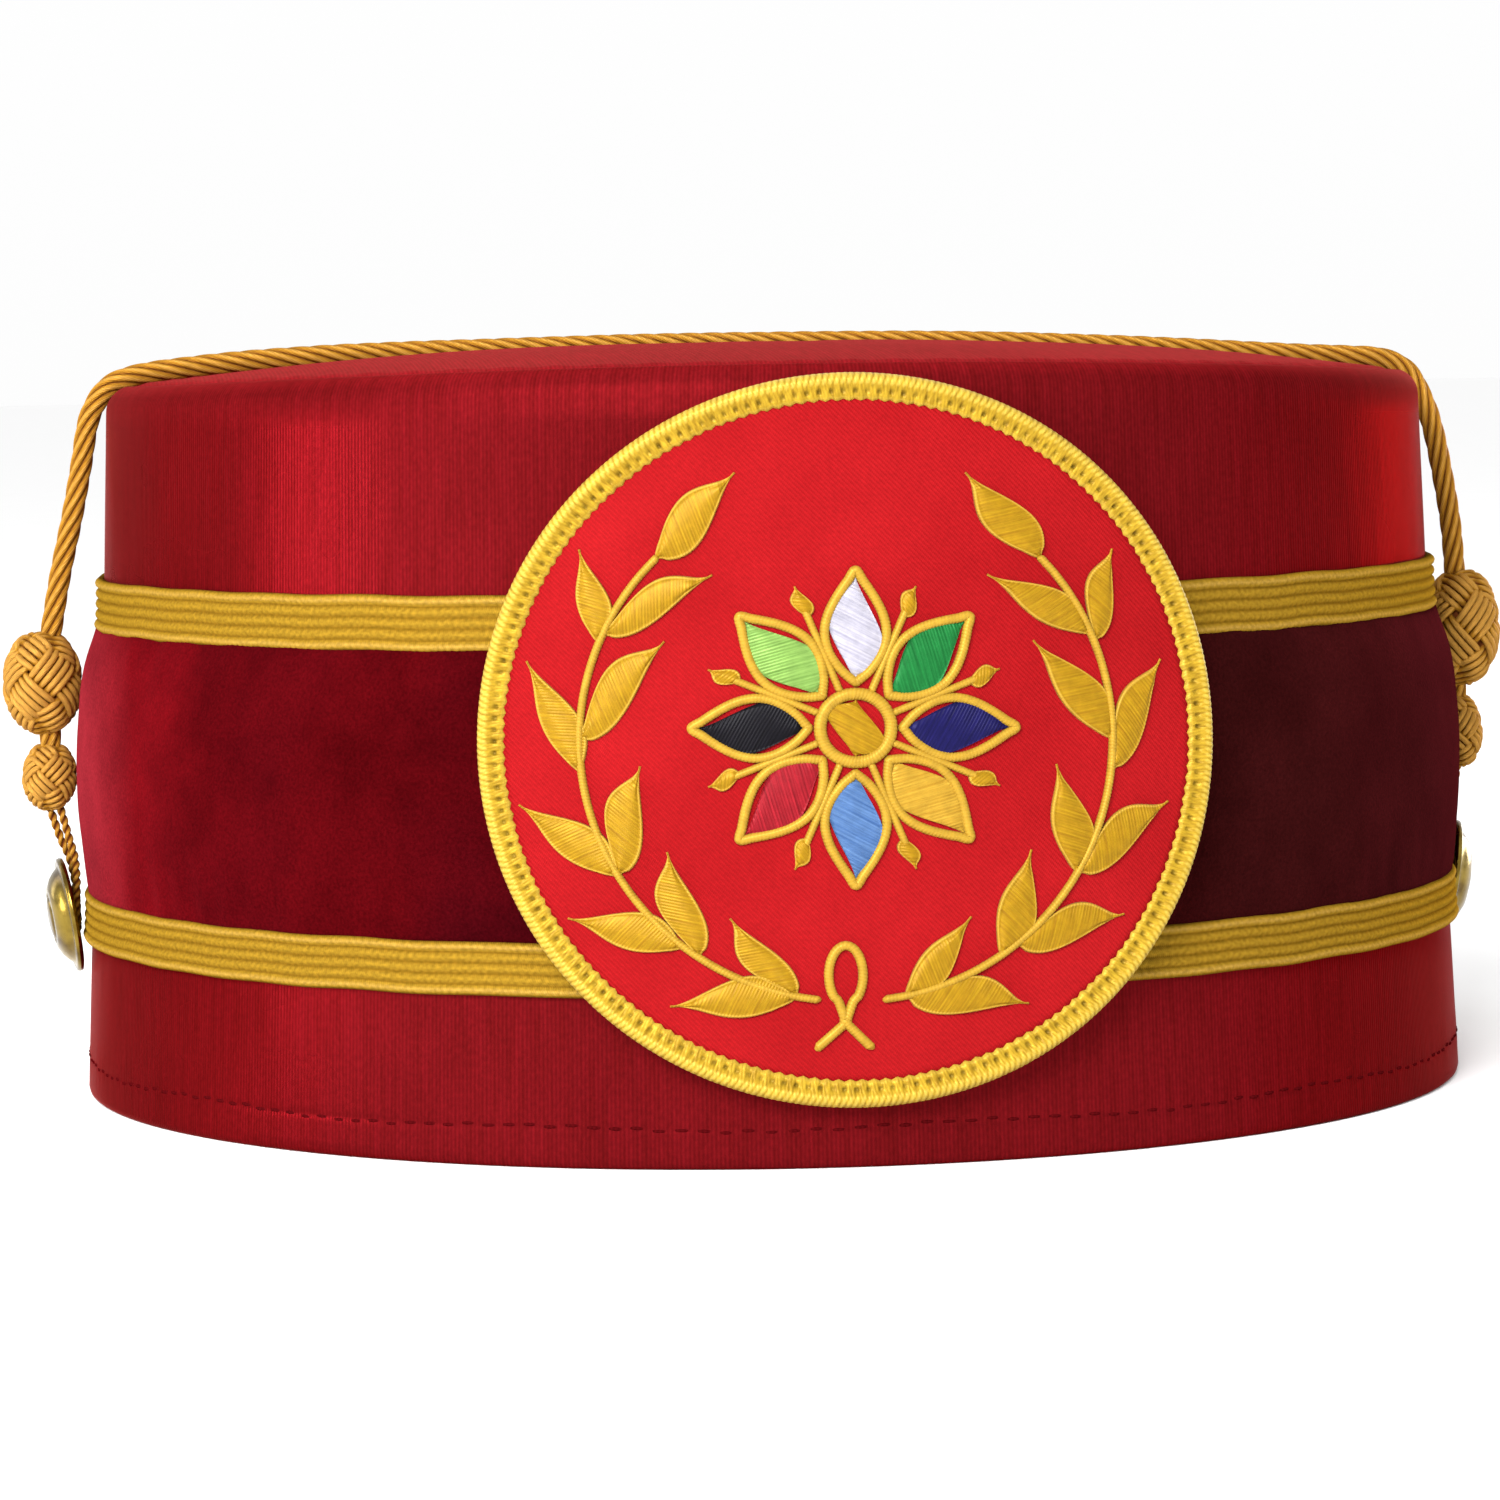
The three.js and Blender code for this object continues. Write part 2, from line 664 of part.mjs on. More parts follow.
function buttonLoop(side) {
  const [x, z] = knotsOf(side).small.bottom;
  const strand = [[x, LOOP_SPREAD, z - GAP], ...LOOP_STRAND];
  const place = ([out, across, height], turn) => {
    const back = THREE.MathUtils.mapLinear(height, LOOP_FOOT[2], z, BUTTON_BEHIND, CORD_BACK);
    return new THREE.Vector3(side * out, back + turn * across, height);
  };
  const down = strand.map((point) => place(point, 1));
  const up = strand.map((point) => place(point, -1)).reverse();
  const route = [...down, place(LOOP_FOOT, 0), ...up];
  return tube(new THREE.CatmullRomCurve3(route), LOOP_DIAMETER, 26);
}

// ---- The whole cap ----

const crown = new THREE.Group().add(
  named("crown_side", crownSide(), CRIMSON_CLOTH),
  named("crown_tip", crownTip(), CRIMSON_CLOTH),
  named("velvet_band", velvetBand(), CRIMSON_VELVET),
  named("lower_braid", braid(LOWER_BRAID), GOLD_BRAID),
  named("upper_braid", braid(UPPER_BRAID), GOLD_BRAID),
  button(1),
  button(-1),
);

const emblem = new THREE.Group().add(
  named("emblem_ground", emblemGround(), EMBLEM_RED),
  named("emblem_border", emblemBorder(), GOLD_THREAD),
  named("wreath_left_branch", wreathBranch(1), GOLD_THREAD),
  named("wreath_right_branch", wreathBranch(-1), GOLD_THREAD),
  named("ribbon_tie", ribbonTie(), GOLD_THREAD),
  named("rosette_frame", rosetteFrame(), GOLD_THREAD),
  named("rosette_boss", rosetteBoss(), GOLD_THREAD),
);
PETAL_THREADS.forEach(({ name, material }, i) => {
  emblem.add(named(`petal_${name}`, rosettePetal(i), material));
});

const cord = new THREE.Group().add(named("crown_cord", cordOverCrown(), GOLD_CORD));
for (const side of [1, -1]) {
  const where = side > 0 ? "left" : "right";
  cord.add(
    named(`big_knot_${where}`, knot(knotsOf(side).big, side), GOLD_CORD),
    named(`cord_neck_${where}`, cordNeck(side), GOLD_CORD),
    named(`small_knot_${where}`, knot(knotsOf(side).small, side), GOLD_CORD),
    named(`button_loop_${where}`, buttonLoop(side), GOLD_CORD),
  );
}

// The origin is on the floor under the middle of the cap's box, measured without its cord.
const capBox = new THREE.Box3().setFromObject(crown).expandByObject(emblem);
const cap = new THREE.Group().add(crown, emblem, cord);
cap.position.y = -capBox.getCenter(new THREE.Vector3()).y;

export default cap;
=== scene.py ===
"""The looks of a round ceremonial cap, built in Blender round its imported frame.

Lengths in this script are in millimetres and become metres where a mesh is made. The hem
rests on the XY plane and the front faces -Y. Angles round the cap are measured from the
front, towards +X. A shape grid is an array of rows and columns of points.
"""

import math

import bmesh
import bpy
import numpy as np
from mathutils import Euler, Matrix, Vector


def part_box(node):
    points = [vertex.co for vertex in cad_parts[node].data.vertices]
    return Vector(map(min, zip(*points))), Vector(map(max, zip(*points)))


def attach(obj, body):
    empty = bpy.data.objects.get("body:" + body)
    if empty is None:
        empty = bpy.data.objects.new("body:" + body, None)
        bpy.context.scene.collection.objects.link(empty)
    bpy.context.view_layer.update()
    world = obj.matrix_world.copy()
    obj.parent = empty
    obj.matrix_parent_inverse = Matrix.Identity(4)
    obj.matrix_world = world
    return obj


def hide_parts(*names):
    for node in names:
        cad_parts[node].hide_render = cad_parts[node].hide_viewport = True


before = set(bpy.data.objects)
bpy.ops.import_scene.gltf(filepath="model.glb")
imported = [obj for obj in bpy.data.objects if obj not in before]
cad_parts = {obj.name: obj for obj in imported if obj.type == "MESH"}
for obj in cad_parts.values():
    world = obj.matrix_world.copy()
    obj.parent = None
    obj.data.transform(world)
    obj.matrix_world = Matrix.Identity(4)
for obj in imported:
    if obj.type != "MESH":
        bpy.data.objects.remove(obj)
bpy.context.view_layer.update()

MM = 0.001
TURN = 2 * math.pi
SIDES = (("left", 1), ("right", -1))  # the wearer's sides, and the way of each along X


def node_box(name):
    """A CAD node's lowest and highest corners, in millimetres."""
    low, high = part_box(name)
    return np.array(low) / MM, np.array(high) / MM


# ---- Sizes of the cap, from the frame ----

side_low, side_high = node_box("crown_side")
HALF_WIDTH = (side_high[0] - side_low[0]) / 2
HALF_LENGTH = (side_high[1] - side_low[1]) / 2
PLAN_RATIO = HALF_LENGTH / HALF_WIDTH
AXIS_Y = (side_high[1] + side_low[1]) / 2
HEM_GIRTH = TURN * (HALF_WIDTH + HALF_LENGTH) / 2

WALL = 2.6
# Outer face of the side wall: how far it is inside the hem's outline at each height.
WALL_HEIGHTS = [0.9, 20, 45, 66, 92.2]
WALL_INSETS = [0, 0.9, 2.3, 3.7, 4.6]
SHOULDER_RADIUS = 3.6
SHOULDER_TOP = 95.8
SEAM_RADIUS = HALF_WIDTH - 8.2
FRONT_LIFT = 2.4
LEFT_DROP = 0.5
LIFT_FROM = 70.5
TIP_THICKNESS = 2
TIP_RISE = 4.8
TIP_FULLNESS = 2.6

CORD_BACK = 5  # the cord lies this far behind the middle
CORD_Y = AXIS_Y + CORD_BACK
GROOVE_WIDTH = 7.5
GROOVE_ON_TOP = 2.1
GROOVE_AT_RIM = 1.3


# ---- The camera, at the photograph's angle ----

CAMERA_AZIMUTH = -0.11
CAMERA_DISTANCE = 792.8
CAMERA_HEIGHT = 101.9
CAMERA_PITCH = -0.0725
CAMERA_PAN = 0.003
CAMERA_ROLL = 0.018
CAMERA_LENS, CAMERA_SENSOR = 138.1, 36


def make_camera():
    camera = bpy.data.objects.new("camera", bpy.data.cameras.new("camera"))
    camera.data.lens = CAMERA_LENS
    camera.data.sensor_width = CAMERA_SENSOR
    camera.data.clip_end = 20
    camera.location = (
        CAMERA_DISTANCE * math.sin(CAMERA_AZIMUTH) * MM,
        (AXIS_Y - CAMERA_DISTANCE * math.cos(CAMERA_AZIMUTH)) * MM,
        CAMERA_HEIGHT * MM,
    )
    turn = Euler((math.pi / 2 + CAMERA_PITCH, 0, CAMERA_AZIMUTH + CAMERA_PAN), "XYZ")
    roll = Euler((0, 0, -CAMERA_ROLL), "XYZ")
    camera.rotation_euler = (turn.to_matrix() @ roll.to_matrix()).to_euler()
    bpy.context.scene.collection.objects.link(camera)
    bpy.context.scene.camera = camera


# ---- Shapes: gathered grids of points ----


class Shape:
    """One piece's points, faces, thread coordinates and tones, gathered grid by grid."""

    def __init__(self):
        self.points = []
        self.faces = []
        self.uvs = []
        self.tones = []
        self.count = 0

    def add(self, grid, uv=None, tone=0.0, ring_rows=False):
        """Adds a closed body: rows of a tube, capped at both ends unless the rows ring too.

        uv has one more column than the grid, and one more row where the rows ring.
        """
        rows, columns = grid.shape[:2]
        row_steps = rows if ring_rows else rows - 1
        if uv is None:
            uv = np.zeros((row_steps + 1, columns + 1, 2))
        i, j = np.meshgrid(np.arange(row_steps), np.arange(columns), indexing="ij")
        i, j = i.ravel(), j.ravel()
        corners = [(i, j), (i, j + 1), (i + 1, j + 1), (i + 1, j)]
        quads = [self.count + (a % rows) * columns + b % columns for a, b in corners]
        self.faces += np.stack(quads, axis=1).tolist()
        self.uvs.append(np.stack([uv[a, b] for a, b in corners], axis=1).reshape(-1, 2))
        if not ring_rows:
            for row in (0, rows - 1):
                start = self.count + row * columns
                self.faces.append(list(range(start, start + columns)))
                self.uvs.append(uv[row, :columns])
        self.points.append(grid.reshape(-1, 3))
        self.tones.append(np.broadcast_to(tone, (rows, columns)).ravel())
        self.count += rows * columns

    def piece(self, name, material, slot, *nodes):
        """Makes the object: it rides on the root body and replaces the CAD nodes."""
        mesh = bpy.data.meshes.new(name)
        points = np.concatenate(self.points) * MM
        mesh.from_pydata(points.tolist(), [], self.faces)
        layer = mesh.uv_layers.new(name="thread")
        layer.data.foreach_set("uv", np.concatenate(self.uvs).astype(np.float32).ravel())
        tone = mesh.attributes.new("tone", "FLOAT", "POINT")
        tone.data.foreach_set("value", np.concatenate(self.tones).astype(np.float32))
        work = bmesh.new()
        work.from_mesh(mesh)
        bmesh.ops.recalc_face_normals(work, faces=work.faces)
        for face in work.faces:
            face.smooth = True
        work.to_mesh(mesh)
        work.free()
        mesh.materials.append(material)
        made = bpy.data.objects.new(name, mesh)
        bpy.context.scene.collection.objects.link(made)
        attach(made, "root")
        if nodes:
            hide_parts(*nodes)
        return made


def full_turn(count):
    """Angles of a whole turn from 0, without its end."""
    return np.linspace(0, TURN, count, endpoint=False)


def joined(*coordinates):
    """Points from separate coordinates, all spread over one grid."""
    return np.stack(np.broadcast_arrays(*coordinates), axis=-1)


def round_middle(radius, angle):
    """How far right and up a point is, from its radius and its angle from straight up."""
    return radius * np.sin(angle), radius * np.cos(angle)


def turned(first, second, angle):
    """Two coordinates after a turn that brings the second towards the first."""
    cos, sin = math.cos(angle), math.sin(angle)
    return first * cos + second * sin, second * cos - first * sin


def smooth_step(low, high, value):
    share = np.clip((value - low) / (high - low), 0, 1)
    return share * share * (3 - 2 * share)


def ripple(seed, angle, height, waves, around, upright):
    """Gentle random waves over the wall, from -1 to 1, that meet round the back.

    around is the highest number of waves round the cap, upright the shortest wave up it.
    """
    random = np.random.default_rng(seed)
    total = np.zeros(np.broadcast(angle, height).shape)
    for _ in range(waves):
        count = random.integers(2, around)
        slope = random.uniform(-1, 1) * TURN / upright
        total += np.sin(count * angle + slope * height + random.uniform(0, TURN))
    return total / waves ** 0.5 / 1.5


def on_plan(radius, angle, height):
    """Points of the cap, from a radius on its width, an angle and a height."""
    x = radius * np.sin(angle)
    y = AXIS_Y - radius * PLAN_RATIO * np.cos(angle)
    return joined(x, y, height)


def wall_radius(height):
    return HALF_WIDTH - np.interp(height, WALL_HEIGHTS, WALL_INSETS)


def rim_lift(angle):
    return FRONT_LIFT * np.cos(angle) ** 2 - LEFT_DROP * np.sin(angle)


def groove_share(radius, angle):
    y = -radius * PLAN_RATIO * np.cos(angle)
    return np.exp(-(((y - CORD_BACK) / GROOVE_WIDTH) ** 2))


# ---- Curves and tubes ----


def spline(points, step):
    """Points about a step apart along a smooth curve through the given points."""
    points = np.asarray(points, dtype=float)
    before = 2 * points[0] - points[1]
    after = 2 * points[-1] - points[-2]
    padded = np.vstack([before, points, after])
    t = np.linspace(0, 1, 24, endpoint=False)[:, None]
    spans = []
    for p0, p1, p2, p3 in zip(padded, padded[1:], padded[2:], padded[3:]):
        spans.append(
            0.5 * (2 * p1 + (p2 - p0) * t + (2 * p0 - 5 * p1 + 4 * p2 - p3) * t**2
                   + (3 * p1 - p0 - 3 * p2 + p3) * t**3)
        )
    fine = np.vstack([*spans, points[-1:]])
    reach = arc_length(fine)
    wanted = np.linspace(0, reach[-1], max(int(reach[-1] / step), 2) + 1)
    return np.stack([np.interp(wanted, reach, fine[:, axis]) for axis in range(3)], axis=1)


def arc_length(path):
    """Distance along a path at each of its points."""
    steps = np.linalg.norm(np.diff(path, axis=0), axis=1)
    return np.concatenate([[0], np.cumsum(steps)])


def unit(vectors):
    return vectors / np.linalg.norm(vectors, axis=-1, keepdims=True)


def tangents(path, ring=False):
    """The direction of a path at each of its points."""
    if ring:
        return unit(np.roll(path, -1, axis=0) - np.roll(path, 1, axis=0))
    return unit(np.gradient(path, axis=0))


def frames(path, first=(0, 1, 0), ring=False):
    """Two side directions at each point, turning as little as they can."""
    tangent = tangents(path, ring)
    side = np.empty_like(path)
    last = np.asarray(first, dtype=float)
    for i, along in enumerate(tangent):
        last = last - along * last.dot(along)
        last /= np.linalg.norm(last)
        side[i] = last
    return side, np.cross(tangent, side)


def tube(path, radius, sides, first=(0, 1, 0), ring=False):
    """A grid of points round a path."""
    side, other = frames(path, first, ring)
    turn = full_turn(sides)[None, :, None]
    out = side[:, None] * np.cos(turn) + other[:, None] * np.sin(turn)
    return path[:, None] + radius * out


def thread_uv(path, sides, ring=False):
    """Thread coordinates of a tube: millimetres along it, and turns round it."""
    reach = arc_length(np.vstack([path, path[:1]]) if ring else path)
    return joined(reach[:, None], np.linspace(0, 1, sides + 1)[None])


def add_twist(shape, path, plies, diameter, lay, sides, fullness=1.06):
    """Adds a twisted cord: plies wound round a path, the way a right-hand screw turns."""
    ply_radius = fullness * diameter / 2 / (1 + 1 / math.sin(math.pi / plies))
    helix = diameter / 2 - ply_radius
    side, other = frames(path)
    reach = arc_length(path)[:, None]
    for ply in range(plies):
        turn = TURN * (reach / lay + ply / plies)
        centre = path + helix * (side * np.cos(turn) + other * np.sin(turn))
        grid = tube(centre, ply_radius, sides)
        # The tone is the distance out from the cord's middle, for the look's painted shade between
        # the plies and painted highlight on top.
        out = np.linalg.norm(grid - path[:, None], axis=-1)
        shape.add(grid, thread_uv(centre, sides), out / (diameter / 2))


def add_rope(shape, path):
    """Adds a stretch of the thick cord: its plies round a hidden core."""
    add_twist(shape, path, CORD_PLIES, CORD_DIAMETER, CORD_LAY, 9, CORD_FULLNESS)
    # The core keeps a tone of 0: where it shows between the plies, it is painted dark brown shade.
    shape.add(tube(path, CORD_DIAMETER * 0.22, 8), thread_uv(path, 8))


# ---- Materials ----


def rgb(red, green, blue):
    """A linear colour from the usual 0 to 255 values."""
    shares = [value / 255 for value in (red, green, blue)]
    linear = [s / 12.92 if s <= 0.04045 else ((s + 0.055) / 1.055) ** 2.4 for s in shares]
    return (*linear, 1)


class Look:
    """A material and short ways to add nodes to it."""

    def __init__(self, name, **sockets):
        self.material = bpy.data.materials.new(name)
        self.material.use_nodes = True
        self.tree = self.material.node_tree
        self.shader = self.tree.nodes["Principled BSDF"]
        for socket, value in sockets.items():
            self.shader.inputs[socket.replace("_", " ")].default_value = value

    def node(self, kind, inputs, output=0, **settings):
        """Adds a node with its inputs and gives back one of its outputs."""
        made = self.tree.nodes.new("ShaderNode" + kind)
        for key, value in settings.items():
            setattr(made, key, value)
        for socket, value in inputs.items():
            if isinstance(value, bpy.types.NodeSocket):
                self.tree.links.new(value, made.inputs[socket])
            else:
                made.inputs[socket].default_value = value
        return made.outputs[output]

    def math(self, operation, *values):
        return self.node("Math", dict(enumerate(values)), operation=operation)

    def thread(self):
        """The two thread coordinates."""
        both = self.node("UVMap", {}, uv_map="thread")
        return [self.node("SeparateXYZ", {"Vector": both}, axis) for axis in "XY"]

    def place(self):
        """The point in the cap's own frame, in metres."""
        return self.node("TexCoord", {}, "Object")

    def tone(self):
        return self.node("Attribute", {}, "Fac", attribute_name="tone")

    def wave(self, *terms):
        """A sine from 0 to 1. Each term is a coordinate and its wave length."""
        total = None
        for coordinate, length in terms:
            turned = self.math("MULTIPLY", coordinate, TURN / length)
            total = turned if total is None else self.math("ADD", total, turned)
        swing = self.math("SINE", total)
        return self.math("MULTIPLY_ADD", swing, 0.5, 0.5)

    def noise(self, vector, scale, detail=2.0, roughness=0.5):
        inputs = {"Vector": vector, "Scale": scale, "Detail": detail, "Roughness": roughness}
        return self.node("TexNoise", inputs)

    def streaks(self, u, across, v, along):
        """Noise drawn out by different scales along the two thread coordinates."""
        place = {"X": self.math("MULTIPLY", u, across), "Y": self.math("MULTIPLY", v, along)}
        return self.noise(self.node("CombineXYZ", place), 1.0)

    def spread(self, value, low, high, new_low=0.0, new_high=1.0):
        inputs = {"Value": value, "From Min": low, "From Max": high,
                  "To Min": new_low, "To Max": new_high}
        return self.node("MapRange", inputs, clamp=True)

    def mix(self, share, first, second):
        return self.node("MixRGB", {"Fac": share, "Color1": first, "Color2": second})

    def shade(self, colour, value, low, high, dark, light):
        """A colour times a number that runs from dark to light as the value rises."""
        factor = self.spread(value, low, high, dark, light)
        grey = self.node("CombineXYZ", {"X": factor, "Y": factor, "Z": factor})
        inputs = {"Fac": 1.0, "Color1": colour, "Color2": grey}
        return self.node("MixRGB", inputs, blend_type="MULTIPLY")

    def bump(self, height, depth):
        """Bump whose height of 0 to 1 spans a depth in millimetres."""
        return self.node("Bump", {"Height": height, "Distance": depth * MM, "Strength": 1.0})

    def finish(self, colour=None, roughness=None, normal=None):
        for socket, value in (("Base Color", colour), ("Roughness", roughness), ("Normal", normal)):
            if value is not None:
                self.tree.links.new(value, self.shader.inputs[socket])
        return self.material


RIB_PITCH = 0.55


def satin_look(name, lustre, sheen=0.12, shade=1.0):
    """Crimson ribbed satin: fine upright ribs, a red lustre, and painted light on the top."""
    look = Look(
        name, Metallic=lustre, Specular_IOR_Level=0.0, Specular_Tint=rgb(170, 30, 38),
        Sheen_Weight=sheen, Sheen_Roughness=0.3, Sheen_Tint=rgb(255, 120, 110),
    )
    u, v = look.thread()
    rib = look.wave((u, RIB_PITCH))
    slub = look.streaks(u, 1.1, v, 0.09)
    fleck = look.streaks(u, 1.8, v, 1.3)
    cloud = look.noise(look.place(), 28.0, 3.0)
    colour = look.mix(look.spread(slub, 0.3, 0.7), rgb(86, 11, 14), rgb(97, 13, 18))
    colour = look.shade(colour, rib, 0.0, 1.0, 0.84 * shade, 1.1 * shade)
    colour = look.shade(colour, fleck, 0.35, 0.7, 0.88, 1.1)
    colour = look.shade(colour, cloud, 0.2, 0.8, 0.88, 1.12)
    rough_then_painted_light = look.tone()
    # Painted light: a tone above 0.5, on the shoulder's top and the tip, makes the satin up to 1.6
    # times lighter.
    colour = look.shade(colour, rough_then_painted_light, 0.5, 1.0, 1.0, 1.6)
    height = look.math("MULTIPLY_ADD", slub, 0.15, rib)
    dull = look.spread(rough_then_painted_light, 0.0, 0.5, 0.0, 0.3)
    roughness = look.math("ADD", dull, look.spread(cloud, 0.1, 0.9, 0.22, 0.34))
    return look.finish(colour, roughness, look.bump(height, 0.013))


# The velvet is painted darker towards the wearer's left, as painted shade, and paler at the
# other end, as a painted sheen. Each tint: from where to where it sets in along X, in metres,
# how much, and its colour.
VELVET_PAINTED_SHADE_AND_SHEEN = [
    ((-0.04, 0.05), 0.9, (36, 8, 8)),
    ((-0.0697, -0.0955), 0.86, (98, 6, 12)),
    ((-0.087, -0.0955), 0.85, (116, 30, 38)),
]


def velvet_look():
    """Dark crimson velvet whose nap has been brushed into soft clouds, with painted shade and
    sheen.
    """
    look = Look(
        "crimson_velvet", Roughness=0.95, Specular_IOR_Level=0.0,
        Sheen_Weight=0.08, Sheen_Roughness=0.4, Sheen_Tint=rgb(225, 70, 85),
    )
    place = look.place()
    cloud = look.noise(place, 24.0, 4.0, 0.55)
    patch = look.noise(place, 70.0, 4.0, 0.6)
    nap = look.noise(place, 2600.0, 2.0)
    across = look.node("SeparateXYZ", {"Vector": place}, "X")
    colour = look.mix(look.spread(cloud, 0.34, 0.66), rgb(36, 2, 5), rgb(62, 3, 6))
    # Painted shade on the wearer's left side and a painted sheen at the right end, set by X.
    for reach, most, tint in VELVET_PAINTED_SHADE_AND_SHEEN:
        colour = look.mix(look.spread(across, *reach, 0.0, most), colour, rgb(*tint))
    colour = look.shade(colour, patch, 0.3, 0.7, 0.72, 1.26)
    colour = look.shade(colour, nap, 0.3, 0.7, 0.75, 1.2)
    height = look.math("MULTIPLY_ADD", cloud, 3.0, nap)
    return look.finish(colour, None, look.bump(height, 0.12))


def braid_look():
    """Mustard gold braid: threads cross each row on the slant."""
    look = Look(
        "gold_braid", Metallic=0.2, Roughness=0.5, Specular_IOR_Level=0.0,
        Specular_Tint=rgb(215, 175, 85),
    )
    u, v = look.thread()
    tone = look.tone()
    fibre = look.wave((u, 0.31), (v, 0.55))
    fleck = look.streaks(u, 1.6, v, 2.2)
    # Painted shade: a low tone, in the hollows between rows and threads and on the feet, comes out
    # darker; the edge rows' crowns go over 1 and come out paler.
    colour = look.mix(look.spread(tone, 0.1, 0.8), rgb(108, 79, 18), rgb(134, 103, 28))
    colour = look.mix(look.spread(tone, 1.0, 1.5), colour, rgb(152, 120, 52))
    colour = look.shade(colour, fleck, 0.32, 0.68, 0.8, 1.18)
    colour = look.shade(colour, fibre, 0.0, 1.0, 0.9, 1.06)
    return look.finish(colour, None, look.bump(fibre, 0.03))


def cord_look():
    """Twisted gold cord: a painted highlight on the plies' tops and painted brown shade between
    them.
    """
    look = Look(
        "gold_cord", Metallic=0.25, Roughness=0.4, Specular_IOR_Level=0.02,
        Specular_Tint=rgb(180, 130, 50),
    )
    u, v = look.thread()
    fibre = look.wave((v, 1 / 13), (u, -0.9))
    tone = look.tone()
    fleck = look.streaks(u, 0.9, v, 7.0)
    # Painted light: a low tone, between the plies, is painted brown shade; a tone near 1, on their
    # tops, is a painted highlight.
    colour = look.mix(look.spread(tone, 0.76, 0.95), rgb(98, 50, 22), rgb(150, 105, 30))
    colour = look.mix(look.spread(tone, 0.95, 1.0), colour, rgb(172, 126, 56))
    colour = look.shade(colour, fibre, 0.0, 1.0, 0.82, 1.08)
    colour = look.shade(colour, fleck, 0.3, 0.7, 0.85, 1.12)
    return look.finish(colour, None, look.bump(fibre, 0.04))


def twill_look():
    """Bright red twill of the emblem's ground, with fine slanting wales."""
    look = Look(
        "emblem_twill", Metallic=0.1, Roughness=0.6, Specular_IOR_Level=0.02,
        Sheen_Weight=0.02, Sheen_Roughness=0.4, Sheen_Tint=rgb(255, 170, 170),
    )
    u, v = look.thread()
    wale = look.wave((u, 0.62), (v, 0.62))
    weft = look.wave((u, 0.27), (v, -0.5))
    cloud = look.noise(look.place(), 60.0, 3.0)
    fleck = look.streaks(u, 1.5, v, 2.0)
    colour = look.mix(look.spread(cloud, 0.32, 0.68), rgb(131, 14, 18), rgb(142, 18, 22))
    colour = look.shade(colour, wale, 0.0, 1.0, 0.88, 1.05)
    colour = look.shade(colour, fleck, 0.32, 0.7, 0.92, 1.06)
    height = look.math("MULTIPLY_ADD", weft, 0.4, wale)
    return look.finish(colour, None, look.bump(height, 0.05))


def embroidery_look(name, *colours):
    """Shiny embroidery thread: a deep, a usual and an edge colour, from 0 to 255."""
    deep, fill, edge = (rgb(*colour) for colour in colours)
    look = Look(
        name, Metallic=0.15, Roughness=0.4, Specular_IOR_Level=0.08,
        Sheen_Weight=0.02, Sheen_Roughness=0.35,
    )
    u, v = look.thread()
    tone = look.tone()
    fibre = look.wave((u, 0.42), (v, 3.0))
    strand = look.streaks(u, 2.4, v, 0.25)
    mottle = look.noise(look.place(), 850.0, 2.0)
    colour = look.mix(look.spread(strand, 0.3, 0.62), deep, fill)
    colour = look.mix(look.spread(tone, 0.3, 0.9), colour, edge)
    colour = look.shade(colour, mottle, 0.3, 0.7, 0.9, 1.1)
    # Painted shade: a negative tone, in the border's needle holes, darkens the thread down to 0.3.
    colour = look.shade(colour, tone, -1.0, 0.0, 0.3, 1.0)
    colour = look.shade(colour, fibre, 0.0, 1.0, 0.93, 1.04)
    return look.finish(colour, None, look.bump(fibre, 0.02))


def button_look():
    """Polished gilt metal with faint wear and darker brown patches at random."""
    look = Look("gold_metal", Metallic=1.0, Roughness=0.16)
    place = look.place()
    wear = look.noise(place, 900.0, 4.0, 0.6)
    dull = look.noise(place, 260.0, 3.0)
    colour = look.mix(look.spread(dull, 0.35, 0.65), rgb(140, 118, 50), rgb(84, 64, 22))
    roughness = look.spread(wear, 0.35, 0.75, 0.14, 0.32)
    return look.finish(colour, roughness, look.bump(wear, 0.01))


def floor_look():
    look = Look("pale_floor", Roughness=0.9, Specular_IOR_Level=0.1)
    grain = look.noise(look.place(), 40.0, 3.0)
    return look.finish(look.mix(grain, rgb(246, 246, 246), rgb(249, 249, 249)))


# ---- The cord over the crown, its knots and the button loops ----

CORD_DIAMETER = 3
CORD_PLIES, CORD_LAY = 6, 19
CORD_FULLNESS = 1.12
CORD_STEP, NECK_STEP, LOOP_STEP = 0.32, 0.28, 0.22  # between a mesh's rings
# The cord's route from the right big knot over the crown to the left one: x, z.
CORD_ROUTE = [
    (-97.9, 62.2), (-96.4, 70.2), (-94.5, 78.5), (-93.1, 85.5),
    (-92.1, 91), (-90.85, 93.95), (-89.05, 96.1), (-86.3, 97.3),
    (-82.5, 98.0), (-77, 98.6), (-68, 99.3), (-54, 99.9),
    (-36, 100.2), (-18, 100.45), (0, 100.45), (18, 100.3),
    (36, 99.8), (54, 98.9), (68, 98.0), (77, 97.4),
    (83, 97.1), (88.2, 96.6), (91.6, 94.8), (93.8, 91),
    (95.3, 86.5), (96.7, 79.5), (97.7, 73), (98.2, 66.4),
]
# One strand of a button loop, down to the shank: out, across, height, and how far the
# two strands lie apart sideways.
LOOP_STRAND = [
    (96.7, 0.5, 34.4, 0.6), (95.8, 1.1, 31.8, 0.4), (95.35, 1.75, 28.6, 0.15),
    (95.3, 2.2, 25.4, 0), (95.25, 1.75, 23, 0),
]
LOOP_FOOT = (95.23, 0, 22.15)
BUTTON_BEHIND = 2  # a button hangs this far behind the middle
LOOP_DIAMETER = 1.2
LOOP_PLIES, LOOP_LAY, LOOP_FULLNESS = 2, 2.6, 1.15
